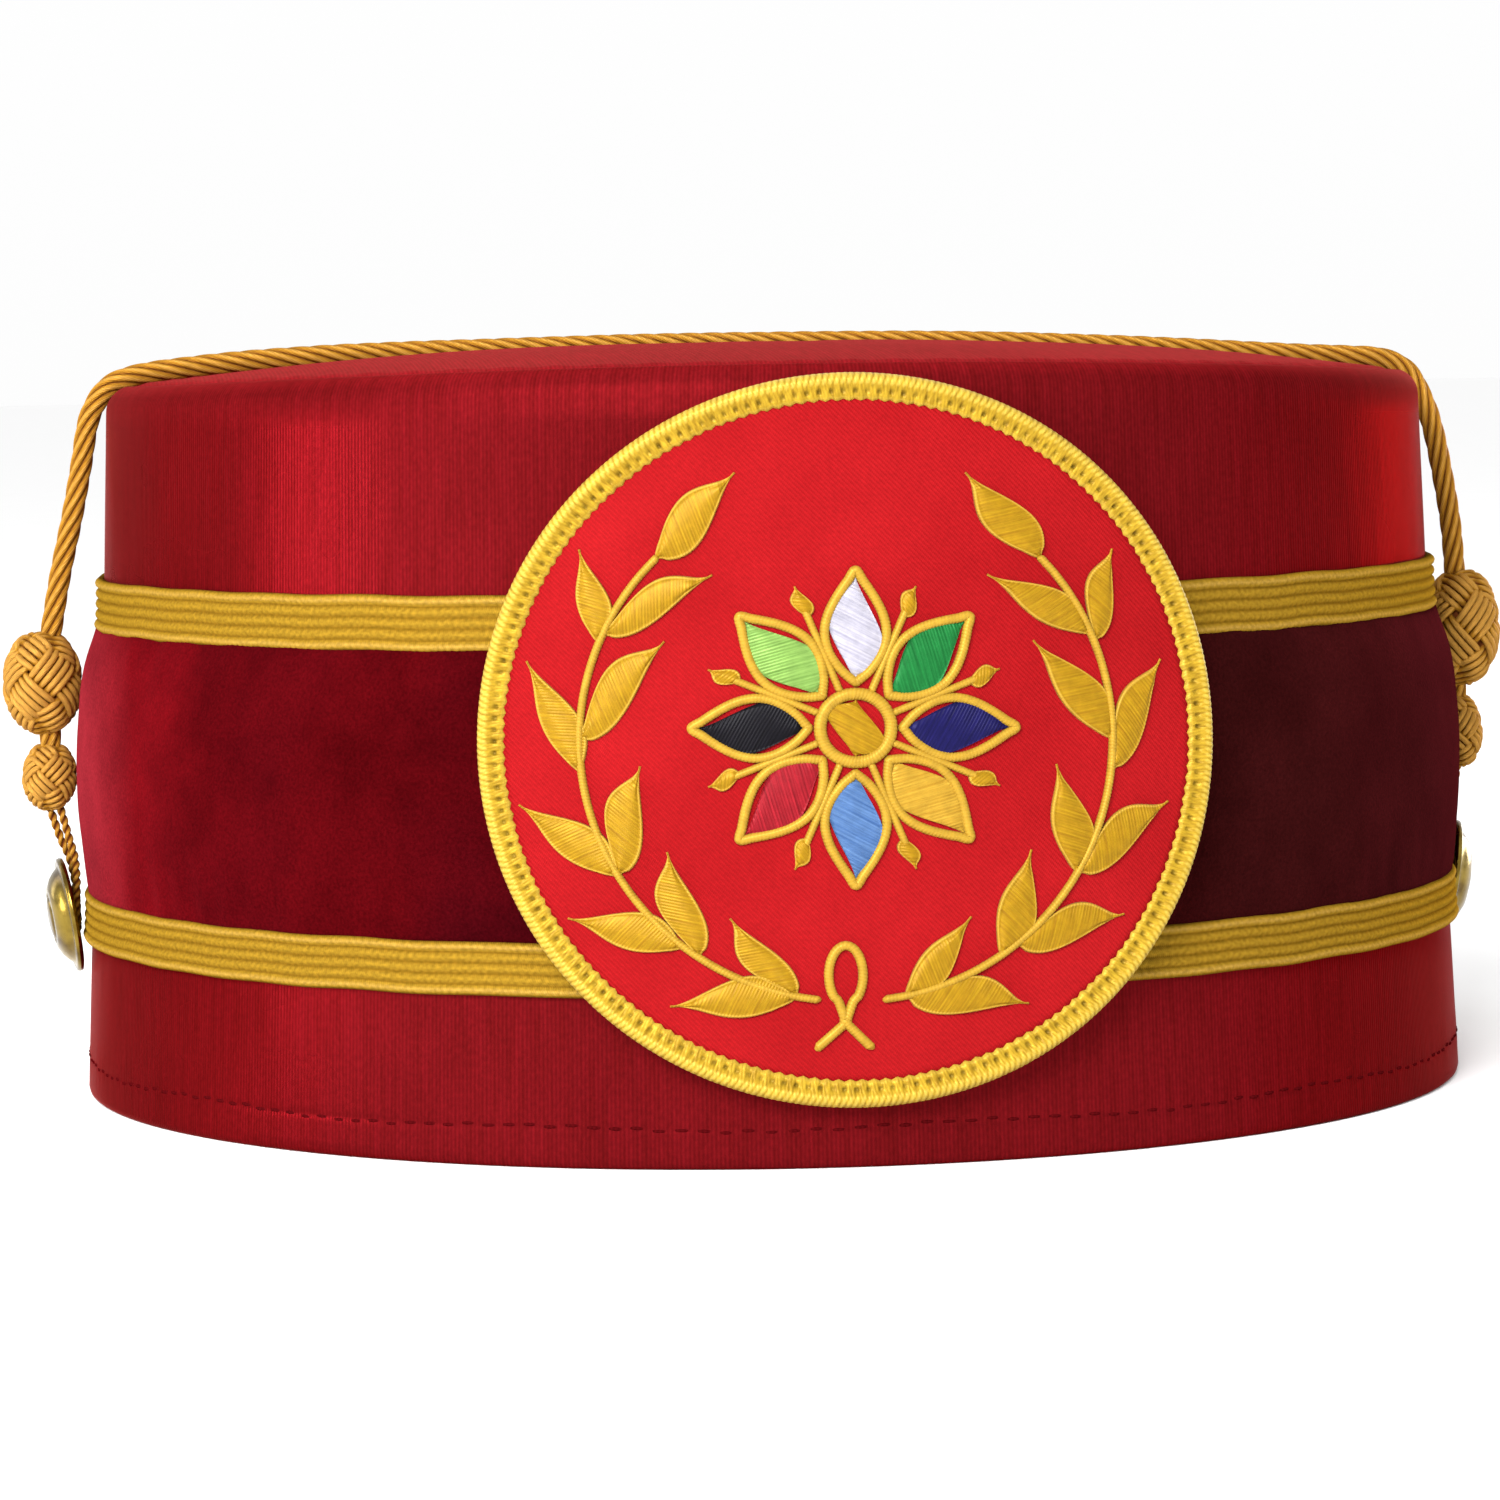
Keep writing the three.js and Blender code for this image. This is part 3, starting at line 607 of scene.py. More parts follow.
# Turk's-head knots: leads and bights of the weave, strands side by side, their size, how
# much wider than its solid each is, and how it leans.
KNOTS = {
    "big": {"leads": 5, "bights": 4, "strands": 5, "strand": 0.95, "wider": 0.5, "lean": 0.01},
    "small": {"leads": 5, "bights": 4, "strands": 4, "strand": 0.82, "wider": 0.2, "lean": -0.05},
}
WEAVING = ("leads", "bights", "strands", "strand")
KNOT_END = 0.45  # a ball with a strand's thickness on it is this much longer at each end
KNOT_REACH = 0.98  # how near the ends the middle of the weave turns back, in radians
KNOT_STEPS = 440
STRAND_SIDES = 8
STRAND_SPACING = 1.02  # in widths of a strand
WEAVE_RISE = 0.42  # how far a strand goes over and under, in its widths


def woven_ball(shape, centre, radius, half_length, lean, weaving):
    """A Turk's-head knot round an upright ball, leaning outwards at its foot."""
    leads, bights, strands, strand = (weaving[key] for key in WEAVING)
    turn = full_turn(KNOT_STEPS)
    core = radius - strand
    core_half = half_length - strand
    lift = KNOT_REACH * np.sin(bights * turn)
    around = leads * turn

    def on_ball(lift, around, out):
        x, y = np.cos(lift) * np.cos(around), np.cos(lift) * np.sin(around)
        z = np.sin(lift)
        normal = unit(joined(x / core, y / core, z / core_half))
        middle = joined(core * x, core * y, core_half * z)
        return middle + np.asarray(out)[..., None] * normal, normal

    crossing = turn * bights * leads / math.pi + leads / 2
    side = np.clip(1.6 * np.sin(math.pi * crossing / leads), -1, 1)
    weave = np.clip(1.5 * np.cos(math.pi * (crossing + 1)), -1, 1) * side
    line, normal = on_ball(lift, around, 0)
    across = np.cross(normal, tangents(line, ring=True))
    sway = np.array([[math.cos(lean), 0, math.sin(lean)], [0, 1, 0],
                     [-math.sin(lean), 0, math.cos(lean)]])
    for row in range(strands):
        offset = (row - (strands - 1) / 2) * strand * STRAND_SPACING
        moved = line + offset * across
        shrunk = moved / np.array([core, core, core_half])
        moved_lift = np.arcsin(np.clip(unit(shrunk)[:, 2], -1, 1))
        moved_around = np.arctan2(shrunk[:, 1], shrunk[:, 0])
        path, _ = on_ball(moved_lift, moved_around, strand * (0.12 + WEAVE_RISE * weave))
        path = centre + path @ sway.T
        out = np.linalg.norm(path - centre, axis=1)
        grid = tube(path, strand / 2, STRAND_SIDES, first=normal[0], ring=True)
        # The tone is higher on each strand's outer side and lower beneath it: painted highlight and
        # painted shade in the cord look.
        level = (out - WEAVE_RISE * strand * weave)[:, None]
        tone = 0.8 + 0.4 * (np.linalg.norm(grid - centre, axis=-1) - level) / strand
        shape.add(grid, thread_uv(path, STRAND_SIDES, ring=True), tone, ring_rows=True)
    # The solid under the weave has a tone of 0.5: painted dark brown shade in the gaps.
    levels, ring = np.meshgrid(np.linspace(-1.45, 1.45, 15), full_turn(24), indexing="ij")
    ball, _ = on_ball(levels, ring, -0.25)
    shape.add(centre + ball @ sway.T, None, 0.5)


def make_cords(gold):
    route = [(x, CORD_Y, z) for x, z in CORD_ROUTE]
    path = spline(route, CORD_STEP)
    rope = Shape()
    add_rope(rope, path)
    cord = rope.piece("crown_rope", gold, "gold_cord", "crown_cord")
    for where, side in SIDES:
        for size, row in KNOTS.items():
            low, high = node_box(f"{size}_knot_{where}")
            centre = (low + high) / 2 - np.array([side * row["wider"] * 0.8, 0, 0])
            radius = (high[1] - low[1]) / 2 + row["wider"]
            half_length = (high[2] - low[2]) / 2 + KNOT_END
            shape = Shape()
            woven_ball(shape, centre, radius, half_length, side * row["lean"], row)
            shape.piece(f"{size}_slide_knot_{where}", gold, "gold_cord",
                                      f"{size}_knot_{where}")
        low, high = node_box(f"cord_neck_{where}")
        neck = Shape()
        x = (low[0] + high[0]) / 2
        levels = [high[2] + 2, (high[2] + low[2]) / 2, low[2] - 2]
        add_rope(neck, spline([(x, CORD_Y, z) for z in levels], NECK_STEP))
        neck.piece(f"neck_{where}", gold, "gold_cord", f"cord_neck_{where}")
        make_loop(gold, where, side)


def make_loop(gold, where, side):
    """The thin doubled cord from the small knot down round a button's shank."""
    low, high = node_box(f"small_knot_{where}")
    top = (abs(low[0] + high[0]) / 2 - 0.6, 0.3, low[2] + 1, 0.75)
    strand = [top] + [row for row in LOOP_STRAND if row[2] < low[2] - 2]
    foot = (side * LOOP_FOOT[0], AXIS_Y + BUTTON_BEHIND, LOOP_FOOT[2])
    heights = [foot[2], low[2]]
    down, up = [], []
    for out, across, z, apart in strand:
        y = AXIS_Y + np.interp(z, heights, [BUTTON_BEHIND, CORD_BACK])
        down.append((side * (out + apart), y + across, z))
        up.insert(0, (side * (out - apart), y - across, z))
    shape = Shape()
    path = spline([*down, foot, *up], LOOP_STEP)
    add_twist(shape, path, LOOP_PLIES, LOOP_DIAMETER, LOOP_LAY, 8, LOOP_FULLNESS)
    return shape.piece(f"thin_loop_{where}", gold, "gold_cord", f"button_loop_{where}")


# ---- The crown: side cloth, tip, velvet and braids ----

AROUND, TIP_AROUND = 480, 300  # points in a turn of the wall and of the tip


def round_angles(steps=AROUND):
    return np.linspace(-math.pi, math.pi, steps, endpoint=False)


def round_uv(profile_lengths, steps, pitch):
    """Thread coordinates round the wall, with a whole number of pitches in a turn."""
    count = round(HEM_GIRTH / pitch)
    u = np.linspace(0, count * pitch, steps + 1)
    v = np.asarray(profile_lengths)
    return joined(u[None], v[:, None])


def lifted(radius, angle, height):
    """Height on the uneven rim, pressed down a little by the cord."""
    share = np.clip((height - LIFT_FROM) / (SHOULDER_TOP - LIFT_FROM), 0, 1)
    pressed = GROOVE_AT_RIM * share**8 * groove_share(radius, angle)
    return height + share * rim_lift(angle) - pressed


STITCH_LINE = 5.0  # height of the hem's stitches
SEAM_DIP = 0.3  # the seam of the side and the tip is drawn in this much
SEAM_REACH = 1.3
# The heights of the wall's rows, closest at the hem's stitches: from, to and how many.
WALL_ROWS = [(0.9, 3.8, 4), (4.3, 5.7, 8), (6.4, 92.2, 36)]
INNER_HEIGHTS = (91, 80, 66, 52, 38, 24, 10, 1.2)
WALL_WAVES, WALL_RIPPLES = 0.05, 0.02  # heights of the unevenness left in the cloth
HEM_GROOVE, STITCH_PULL = 0.05, 0.07  # how far the hem's stitches draw the cloth in


def around_bend(radius, turn):
    """A profile point on the shoulder's bend, from its top (90 degrees) out to the wall (0)."""
    bend = SHOULDER_TOP - SHOULDER_RADIUS
    return SEAM_RADIUS + radius * math.cos(turn), bend + radius * math.sin(turn)


def make_side(satin):
    """Side cloth: from the hem up, over the shoulder to the tip's seam, and down inside."""
    wall = np.concatenate([np.linspace(*row) for row in WALL_ROWS])
    arc = np.linspace(0, math.pi / 2, 10)[1:]
    inner_arc = arc[::-2]
    inner_radius = SHOULDER_RADIUS - WALL
    outer = [(HALF_WIDTH - 1.3, 0), (HALF_WIDTH - 0.5, 0.08), (HALF_WIDTH - 0.13, 0.4)]
    outer += [(wall_radius(z), z) for z in wall]
    outer += [around_bend(SHOULDER_RADIUS, a) for a in arc]
    inner = [around_bend(inner_radius, a) for a in inner_arc]
    inner += [(wall_radius(z) - WALL, z) for z in INNER_HEIGHTS]
    inner += [(HALF_WIDTH - WALL + 0.1, 0.3), (HALF_WIDTH - WALL + 0.5, 0)]
    profile = np.array(outer + inner)
    is_outer = np.arange(len(profile)) < len(outer)
    radius = profile[:, 0][:, None]
    height = profile[:, 1][:, None]
    angle = round_angles()[None]
    soft = np.where(is_outer, 1, 0.3)[:, None] * smooth_step(0, 12, height)
    broad = WALL_WAVES * ripple(3, angle, height, 9, 26, 60)
    close = WALL_RIPPLES * ripple(4, angle, height, 9, 90, 26)
    from_line = height - STITCH_LINE
    groove = HEM_GROOVE * np.exp(-((from_line / 0.45) ** 2)) * is_outer[:, None]
    pull = STITCH_PULL * np.cos(HEM_STITCHES * angle) * np.exp(-((from_line / 2) ** 2))
    out = radius + soft * (broad + close) - groove + pull * is_outer[:, None]
    seam = SEAM_DIP * smooth_step(SEAM_RADIUS + SEAM_REACH, SEAM_RADIUS, radius)
    top = lifted(radius, angle, height) - seam * is_outer[:, None]
    lengths = arc_length(profile)
    shape = Shape()
    uv = round_uv(np.append(lengths, lengths[-1] + 0.5), AROUND, RIB_PITCH)
    # Up to 0.5 the tone roughens the shoulder; above that it paints light on the shoulder's top.
    rough_then_painted_light = 0.5 * smooth_step(90, 93, height) + 0.5 * smooth_step(93.8, 95.6, height)
    shape.add(on_plan(out, angle, top), uv, rough_then_painted_light, ring_rows=True)
    piece = shape.piece("side_cloth", satin, "crimson_satin", "crown_side")


HEM_STITCHES = round(HEM_GIRTH / 2.8)
HEM_STITCH_SHARE = 0.74  # of the way from one stitch to the next
HEM_THREAD_RADIUS = 0.24


def make_hem_stitches(thread):
    """A row of running stitches sunk in the hem, each dipping into the cloth at its ends."""
    shape = Shape()
    share = np.linspace(-0.5, 0.5, 9)
    depth = 0.42 - 0.34 * np.cos(share * math.pi * 0.98)
    for index in range(HEM_STITCHES):
        angle = (index + share * HEM_STITCH_SHARE) * TURN / HEM_STITCHES
        wobble = 0.14 * math.sin(index * 2.4) + 0.3 * np.sin(11 * angle)
        radius = wall_radius(STITCH_LINE) + 0.02 - depth
        path = on_plan(radius, angle, STITCH_LINE + wobble)
        shape.add(tube(path, HEM_THREAD_RADIUS, 6, first=(0, 0, 1)), thread_uv(path, 6))
    shape.piece("hem_stitches", thread, "crimson_thread")


TIP_PUCKERS, TIP_WAVES = 0.1, 0.3  # heights of the folds at the tip's seam and over it


def tip_height(share, angle):
    radius = share * SEAM_RADIUS
    dome = TIP_RISE * (1 - share**TIP_FULLNESS)
    depth = GROOVE_ON_TOP + (GROOVE_AT_RIM - GROOVE_ON_TOP) * share**4
    return SHOULDER_TOP + dome + share**2 * rim_lift(angle) - depth * groove_share(radius, angle)


def make_tip(satin):
    """The padded tip: a low dome with the cord's groove across it, closed underneath."""
    edge = SEAM_RADIUS - 0.15
    upper = np.concatenate([np.linspace(0.01, 0.94, 52), np.linspace(0.955, 1, 7)])
    lower = np.array([1, 0.9, 0.7, 0.5, 0.25, 0.01])
    share = np.concatenate([upper, lower])[:, None]
    under = np.concatenate([np.zeros(len(upper)), np.full(len(lower), TIP_THICKNESS)])[:, None]
    angle = round_angles(TIP_AROUND)[None]
    seam = SEAM_DIP * smooth_step(edge - 1.5, edge, share * edge)
    gathers = np.sin(84 * angle + np.sin(5 * angle))
    puckers = TIP_PUCKERS * gathers * smooth_step(0.93, 0.985, share)
    soft = TIP_WAVES * ripple(8, angle, share * 60, 8, 9, 70) * (1 - share**4) * share**0.5
    height = tip_height(share, angle) - under - seam + (puckers + soft) * (under == 0)
    points = on_plan(share * edge, angle, height)
    wrapped = np.concatenate([points, points[:, :1]], axis=1)
    shape = Shape()
    # A tone of 1 gives the whole tip the satin's painted light and rough finish.
    shape.add(points, wrapped[..., :2], 1.0)
    piece = shape.piece("tip_cloth", satin, "crimson_satin", "crown_tip")


VELVET_THICKNESS = 0.8
VELVET_ROWS = 44
VELVET_SHARES = [0, 0.1, 0.3, 0.55, 0.8, 0.93, 1]
VELVET_BULGES = [0, 0.75, 1.75, 2.25, 2.15, 1.2, 0]
VELVET_PUCKERS, VELVET_WAVES = 0.32, 0.35
FLATTENED_ANGLE = 0.42  # the emblem presses the velvet flat as far round as this


def velvet_bulge(share):
    """The soft bulge at a share of the band's height, smoothed between its rows."""
    near = [np.interp(np.clip(share + shift, 0, 1), VELVET_SHARES, VELVET_BULGES)
            for shift in (-0.06, -0.03, 0, 0.03, 0.06)]
    return sum(near) / len(near)


def make_velvet(velvet):
    low, high = node_box("velvet_band")
    bottom, top = low[2] - 0.6, high[2] + 0.6
    share = np.concatenate([np.linspace(0, 1, VELVET_ROWS), [1, 0.66, 0.33, 0]])[:, None]
    is_outer = (np.arange(len(share)) < VELVET_ROWS)[:, None]
    height = bottom + share * (top - bottom)
    angle = round_angles()[None]
    free = 1 - 0.93 * np.exp(-((angle / FLATTENED_ANGLE) ** 4))
    edge_near = np.exp(-((share / 0.2) ** 2)) + 0.55 * np.exp(-(((1 - share) / 0.16) ** 2))
    edge_near = edge_near * smooth_step(0, 0.05, share)
    puckers = VELVET_PUCKERS * ripple(11, angle, height * 0.2, 7, 120, 30) * edge_near
    soft = VELVET_WAVES * ripple(12, angle, height, 9, 30, 45) * np.sin(math.pi * share)
    bulge = velvet_bulge(share) * free + (puckers + soft) * np.clip(free, 0.2, 1)
    out = wall_radius(height) + 0.05 + is_outer * (VELVET_THICKNESS - 0.25 + bulge)
    lengths = np.concatenate([[0], np.cumsum(np.abs(np.diff(height[:, 0])) + 0.01), [0]])
    shape = Shape()
    shape.add(on_plan(out, angle, height), round_uv(lengths, AROUND, RIB_PITCH), ring_rows=True)
    piece = shape.piece("velvet_cloth", velvet, "crimson_velvet", "velvet_band")


BRAID_ROWS = 5
POINTS_PER_ROW = 4
BRAID_THREAD = 1.05  # length of one slanted thread along the braid
BRAID_SLANT = 0.9
BRAID_BASE = 0.76  # how far the hollows between its rows stand off the wall
ROW_RISE, THREAD_RISE, EDGE_RISE = 0.26, 0.16, 0.1  # of a row, of its threads, of an edge row


def make_braid(node, gold):
    """A flat braid of five plaited rows. Threads slant one way and the other by turns."""
    low, high = node_box(node)
    bottom, top = low[2], high[2]
    threads = round(HEM_GIRTH / BRAID_THREAD)
    steps = threads * 3
    angle = round_angles(steps)[None]
    level = np.linspace(0, BRAID_ROWS, BRAID_ROWS * POINTS_PER_ROW + 1)[:, None]
    row = np.minimum(np.floor(level), BRAID_ROWS - 1)
    in_row = level - row
    crown = np.sin(math.pi * in_row) ** 0.7
    slant = np.where(row % 2 == 0, 1, -1) * (in_row - 0.5) * BRAID_SLANT
    phase = threads * angle / TURN + slant
    strand = np.abs(np.sin(math.pi * phase)) ** 0.8
    is_edge = (row == 0) | (row == BRAID_ROWS - 1)
    out = BRAID_BASE + crown * (ROW_RISE + THREAD_RISE * strand + EDGE_RISE * is_edge)
    height = bottom + (top - bottom) * level / BRAID_ROWS
    uneven = 0.1 * ripple(21, angle, 0, 6, 40, 30)
    face = on_plan(wall_radius(height) + out, angle, height + uneven)
    edges = np.array([[top], [bottom]])
    foot = on_plan(wall_radius(edges) + 0.05, angle, edges + [[-0.15], [0.15]] + uneven)
    # The tone is high on the rows' crowns and threads and low in their hollows, and 0 on the feet;
    # the look paints shade where it is low.
    tone = crown * (0.55 + 0.45 * strand) + 0.55 * is_edge * crown
    tone = np.concatenate([tone, np.zeros((2, steps))])
    lengths = np.append(level[:, 0] * (top - bottom) / BRAID_ROWS, [top, bottom, 0])
    shape = Shape()
    uv = round_uv(lengths, steps, BRAID_THREAD)
    shape.add(np.concatenate([face, foot]), uv, tone, ring_rows=True)
    shape.piece(f"{node}_trim", gold, "gold_braid", node)


# ---- The emblem ----

EMBLEM_BEND = 125
EMBLEM_STRETCH = 1.03  # it is this much wider than it is tall
EMBLEM_LEAN = 0.056
EMBLEM_TURN = math.radians(1.2)  # clockwise, as it is sewn on
WREATH_MIDDLE = np.array([-0.5, 0])  # the wreath is stitched beside the middle
GROUND_THICKNESS = 1.6
ground_low, ground_high = node_box("emblem_ground")
GROUND_RADIUS = (ground_high[2] - ground_low[2]) / 2 / math.cos(EMBLEM_LEAN)
BORDER_WIDTH = 3
EMBLEM_RADIUS = GROUND_RADIUS + BORDER_WIDTH + 0.3
EMBLEM_MIDDLE = (ground_high[2] + ground_low[2]) / 2
EMBLEM_BACK = AXIS_Y - ground_low[1] - GROUND_THICKNESS
EMBLEM_BACK -= GROUND_RADIUS * math.sin(EMBLEM_LEAN)
STITCH_FOOT = GROUND_THICKNESS - 0.12
THREAD_PITCH = 0.42
STITCH_HEIGHT = 0.8
LINE_THREAD, LEAF_THREAD = 0.07, 0.075  # how far each thread stands out of a line or a leaf
LINE_SLANT, LEAF_SLANT = 0.25, 0.55  # how far along a thread runs for each step across


def onto_emblem(u, v, out):
    """Flat emblem coordinates, to the right, up and outwards, on its bent, leaning place."""
    u, v = turned(u, v, EMBLEM_TURN)
    bend = u * EMBLEM_STRETCH / EMBLEM_BEND
    sideways = (EMBLEM_BEND + out) * np.sin(bend)
    inwards = EMBLEM_BEND * (1 - np.cos(bend)) - out * np.cos(bend)
    inwards, upwards = turned(inwards, v, EMBLEM_LEAN)
    return joined(sideways, AXIS_Y - EMBLEM_BACK + inwards, EMBLEM_MIDDLE + upwards)


GROUND_ROWS, GROUND_AROUND = 44, 200
GROUND_PULL = 0.07  # height of the twill's unevenness


def make_ground(twill):
    """The emblem's twill, a little uneven where the stitches pull it."""
    share = np.concatenate([np.linspace(0.01, 1, GROUND_ROWS), [1, 0.6, 0.3, 0.01]])[:, None]
    face = (np.arange(len(share)) < GROUND_ROWS)[:, None]
    angle = full_turn(GROUND_AROUND)[None]
    radius = share * (GROUND_RADIUS + 0.2)
    u, v = round_middle(radius, angle)
    pull = GROUND_PULL * np.sin(u * 0.9 + np.sin(v * 0.7)) * np.sin(v * 0.8 + np.sin(u * 0.5))
    out = np.where(face, GROUND_THICKNESS + pull, 0)
    uv = joined(u, v)
    uv = np.concatenate([uv, uv[:, :1]], axis=1)
    shape = Shape()
    shape.add(onto_emblem(u, v, out), uv)
    piece = shape.piece("ground_cloth", twill, "emblem_twill", "emblem_ground")


BORDER_STITCHES = 188
POINTS_PER_STITCH = 12
BORDER_THREAD = 1.4  # thread length for each stitch, for the thread coordinates
FINE_RIDGE, COARSE_RIDGE = 0.04, 0.07  # of the threads outside and inside the holes
TOOTH_LENGTH, HOLE_DEPTH = 0.3, 0.35
# The rolled edge's section, from its inner foot over the top and back: inset from the
# outer radius, height, how strongly the threads ridge it, and how deep the needle holes are.
BORDER_ROWS = np.array([
    (3.3, 1.45, 0.0, 0.0), (3.12, 1.8, 0.3, 0.0), (2.9, 2.02, 0.6, 0.0),
    (2.65, 2.1, 0.6, 0.3), (2.42, 2.12, 0.5, 1.0), (2.18, 2.16, 0.5, 1.0),
    (1.96, 2.22, 0.5, 0.4), (1.7, 2.36, 0.7, 0.0), (1.3, 2.54, 0.8, 0.0),
    (0.95, 2.6, 0.9, 0.0), (0.6, 2.4, 1.0, 0.0), (0.3, 2.0, 1.0, 0.0),
    (0.08, 1.4, 1.0, 0.0), (0.04, 0.8, 1.0, 0.0), (0.3, 0.3, 0.8, 0.0),
    (0.9, 0.02, 0.3, 0.0), (3.1, 0.0, 0.0, 0.0),
])


def make_border(gold):
    """The rolled edge: wrapped threads, a row of needle holes and a toothed inner side."""
    steps = BORDER_STITCHES * POINTS_PER_STITCH
    angle = full_turn(steps)[None]
    inset, height, ridge, hole = (BORDER_ROWS[:, i][:, None] for i in range(4))
    inner = smooth_step(2.5, 3.1, inset) * (height > 1)
    outer = smooth_step(2.0, 1.2, inset)
    phase = BORDER_STITCHES * angle / TURN
    coarse = np.abs(np.sin(math.pi * phase))
    fine = np.abs(np.sin(TURN * (phase + 0.25 * inset)))
    ridges = ridge * (outer * FINE_RIDGE * fine + (1 - outer) * COARSE_RIDGE * coarse)
    tooth = np.abs((phase % 1) * 2 - 1)
    strength = np.random.default_rng(31).uniform(0.55, 1, BORDER_STITCHES)
    strength = strength[np.floor(phase + 0.5).astype(int) % BORDER_STITCHES]
    pit = hole * strength * smooth_step(0.5, 0.8, tooth)
    radius = EMBLEM_RADIUS - inset + ridges * (inset < 1.4)
    radius = radius - TOOTH_LENGTH * inner * (1 - tooth)
    out = height + ridges * (height > 1.2) - HOLE_DEPTH * pit
    # The needle holes get a negative tone, which the look paints dark as painted shade.
    tone = outer * (0.2 + 0.6 * fine) + 0.55 * inner - 0.85 * pit
    u, v = round_middle(radius, angle)
    uv_u = np.linspace(0, BORDER_STITCHES * BORDER_THREAD, steps + 1)[None]
    uv_v = np.arange(len(BORDER_ROWS) + 1)[:, None] * 0.5
    shape = Shape()
    shape.add(onto_emblem(u, v, out), joined(uv_u, uv_v), tone, ring_rows=True)
    shape.piece("border_stitching", gold, "gold_thread", "emblem_border")


def satin_line(shape, points, width, height, ring=False):
    """A raised line of satin stitches along flat points, its threads lying across it."""
    points = np.asarray(points, dtype=float)
    flat = np.column_stack([points, np.zeros(len(points))])
    closed = np.vstack([flat, flat[:1]]) if ring else flat
    fine = spline(closed, THREAD_PITCH / 4)
    if ring:
        fine = fine[:-1]
    along = tangents(fine, ring)
    across = np.stack([-along[:, 1], along[:, 0]], axis=1)
    reach = arc_length(fine)
    from_end = np.minimum(reach, reach[-1] - reach)[:, None]
    ends = 1 if ring else np.clip(from_end / (width * 0.45), 0.12, 1) ** 0.5
    turn = np.linspace(0, math.pi, 9)
    arch_side = np.concatenate([np.cos(turn), [-0.5, 0.5]])[None]
    arch_up = np.concatenate([np.sin(turn) ** 0.8, [-0.05, -0.05]])[None]
    threads = np.abs(np.sin(math.pi * reach / THREAD_PITCH))[:, None]
    side = arch_side * width / 2 * ends * (1 + 0.05 * threads)
    skew = LINE_SLANT * side
    up = arch_up * height * ends + LINE_THREAD * threads * (arch_up > 0.2)
    u = fine[:, 0:1] + across[:, 0:1] * side + along[:, 0:1] * skew
    v = fine[:, 1:2] + across[:, 1:2] * side + along[:, 1:2] * skew
    grid = onto_emblem(u, v, STITCH_FOOT + up)
    rows = np.append(reach, reach[-1] + THREAD_PITCH / 4) if ring else reach
    uv = joined(rows[:, None], np.arange(12)[None] * 0.2)
    tone = 0.55 + 0.35 * threads * (arch_up > 0.2)
    shape.add(grid, uv, tone, ring_rows=ring)


def lens_share(t, peak):
    """Half width of a pointed leaf along its length, from 0 to 1, widest at the peak."""
    power = math.log(0.5) / math.log(peak)
    return np.sin(math.pi * np.clip(t, 0, 1) ** power) ** (1.2 + 0.4 * t)


# The columns of a leaf's raised outline, from its edge inwards: the share of the outline's
# width, the share of the leaf's height, and how much of the edge colour it has.
OUTLINE_SHARES = np.array([0, 0.3, 0.62, 1])
OUTLINE_RISES = [0.15, 0.66, 0.72, 0.62]
OUTLINE_TONES = [1, 1, 0.9, 0.15]


def satin_leaf(shape, start, end, width, stemward, height=STITCH_HEIGHT, peaks=(0.36, 0.46),
               outline=0.42):
    """A padded leaf of slanted satin stitches with a raised outline.

    stemward is 1 where the fuller side is to the left of the way from start to end, -1
    where it is to the right and 0 where both sides are alike. peaks are the shares of the
    length where the fuller and the other side are widest.
    """
    start, end = np.asarray(start, float), np.asarray(end, float)
    length = np.linalg.norm(end - start)
    along = (end - start) / length
    across = np.array([-along[1], along[0]])
    rows = int(length / THREAD_PITCH) * 4
    t = np.linspace(0.004, 0.996, rows)[:, None]
    half = {}
    for sign in (1, -1):
        fuller = 1 + 0.2 * sign * stemward
        peak = peaks[0] + (peaks[1] - peaks[0]) * (0.5 + 0.5 * sign * stemward)
        half[sign] = np.maximum(fuller * width / 2 * lens_share(t, peak), 0.12)
    # Columns run over the face from one edge to the other, then back underneath.
    inside = np.linspace(0, 1, 7)[1:]
    sides = []
    for sign in (1, -1):
        band = np.minimum(outline, 0.6 * half[sign])
        inner = band + (half[sign] - band) * inside
        from_edge = np.concatenate([band * OUTLINE_SHARES, inner], axis=1)
        sides.append(sign * (half[sign] - from_edge))
    under = [-half[-1] * 0.6, half[1] * 0.6]
    side = np.concatenate([sides[0], sides[1][:, -2::-1], *under], axis=1)
    rise = np.append(OUTLINE_RISES, 0.66 + 0.34 * np.sin(inside * math.pi / 2))
    rise = np.concatenate([rise, rise[-2::-1], [-0.05, -0.05]])[None]
    rim = np.append(OUTLINE_TONES, 0 * inside)
    rim = np.concatenate([rim, rim[-2::-1], [0, 0]])[None]
    threads = np.abs(np.sin(math.pi * t * rows / 4))
    taper = smooth_step(0, 0.12, t) * smooth_step(1, 0.9, t)
    slant = LEAF_SLANT * taper * side
    fine = np.clip((half[1] + half[-1]) / 1.6, 0.5, 1)
    up = rise * height * fine + LEAF_THREAD * threads * (rise > 0.2)
    u = start[0] + along[0] * (t * length + slant) + across[0] * side
    v = start[1] + along[1] * (t * length + slant) + across[1] * side
    uv_v = np.concatenate([side, side[:, :1]], axis=1) * 0.3
    uv_u = t * length + 0 * uv_v
    tone = rim * 0.9 + 0.1 * threads
    shape.add(onto_emblem(u, v, STITCH_FOOT + up), np.stack([uv_u, uv_v], axis=-1), tone)


# The wreath's stem is an arc round the emblem's centre. Angles are in degrees from
# straight down, up the left side.
STEM_FROM, STEM_TO = 6.5, 134
STEM_RADIUS = 31.7
STEM_WIDTH = 0.95
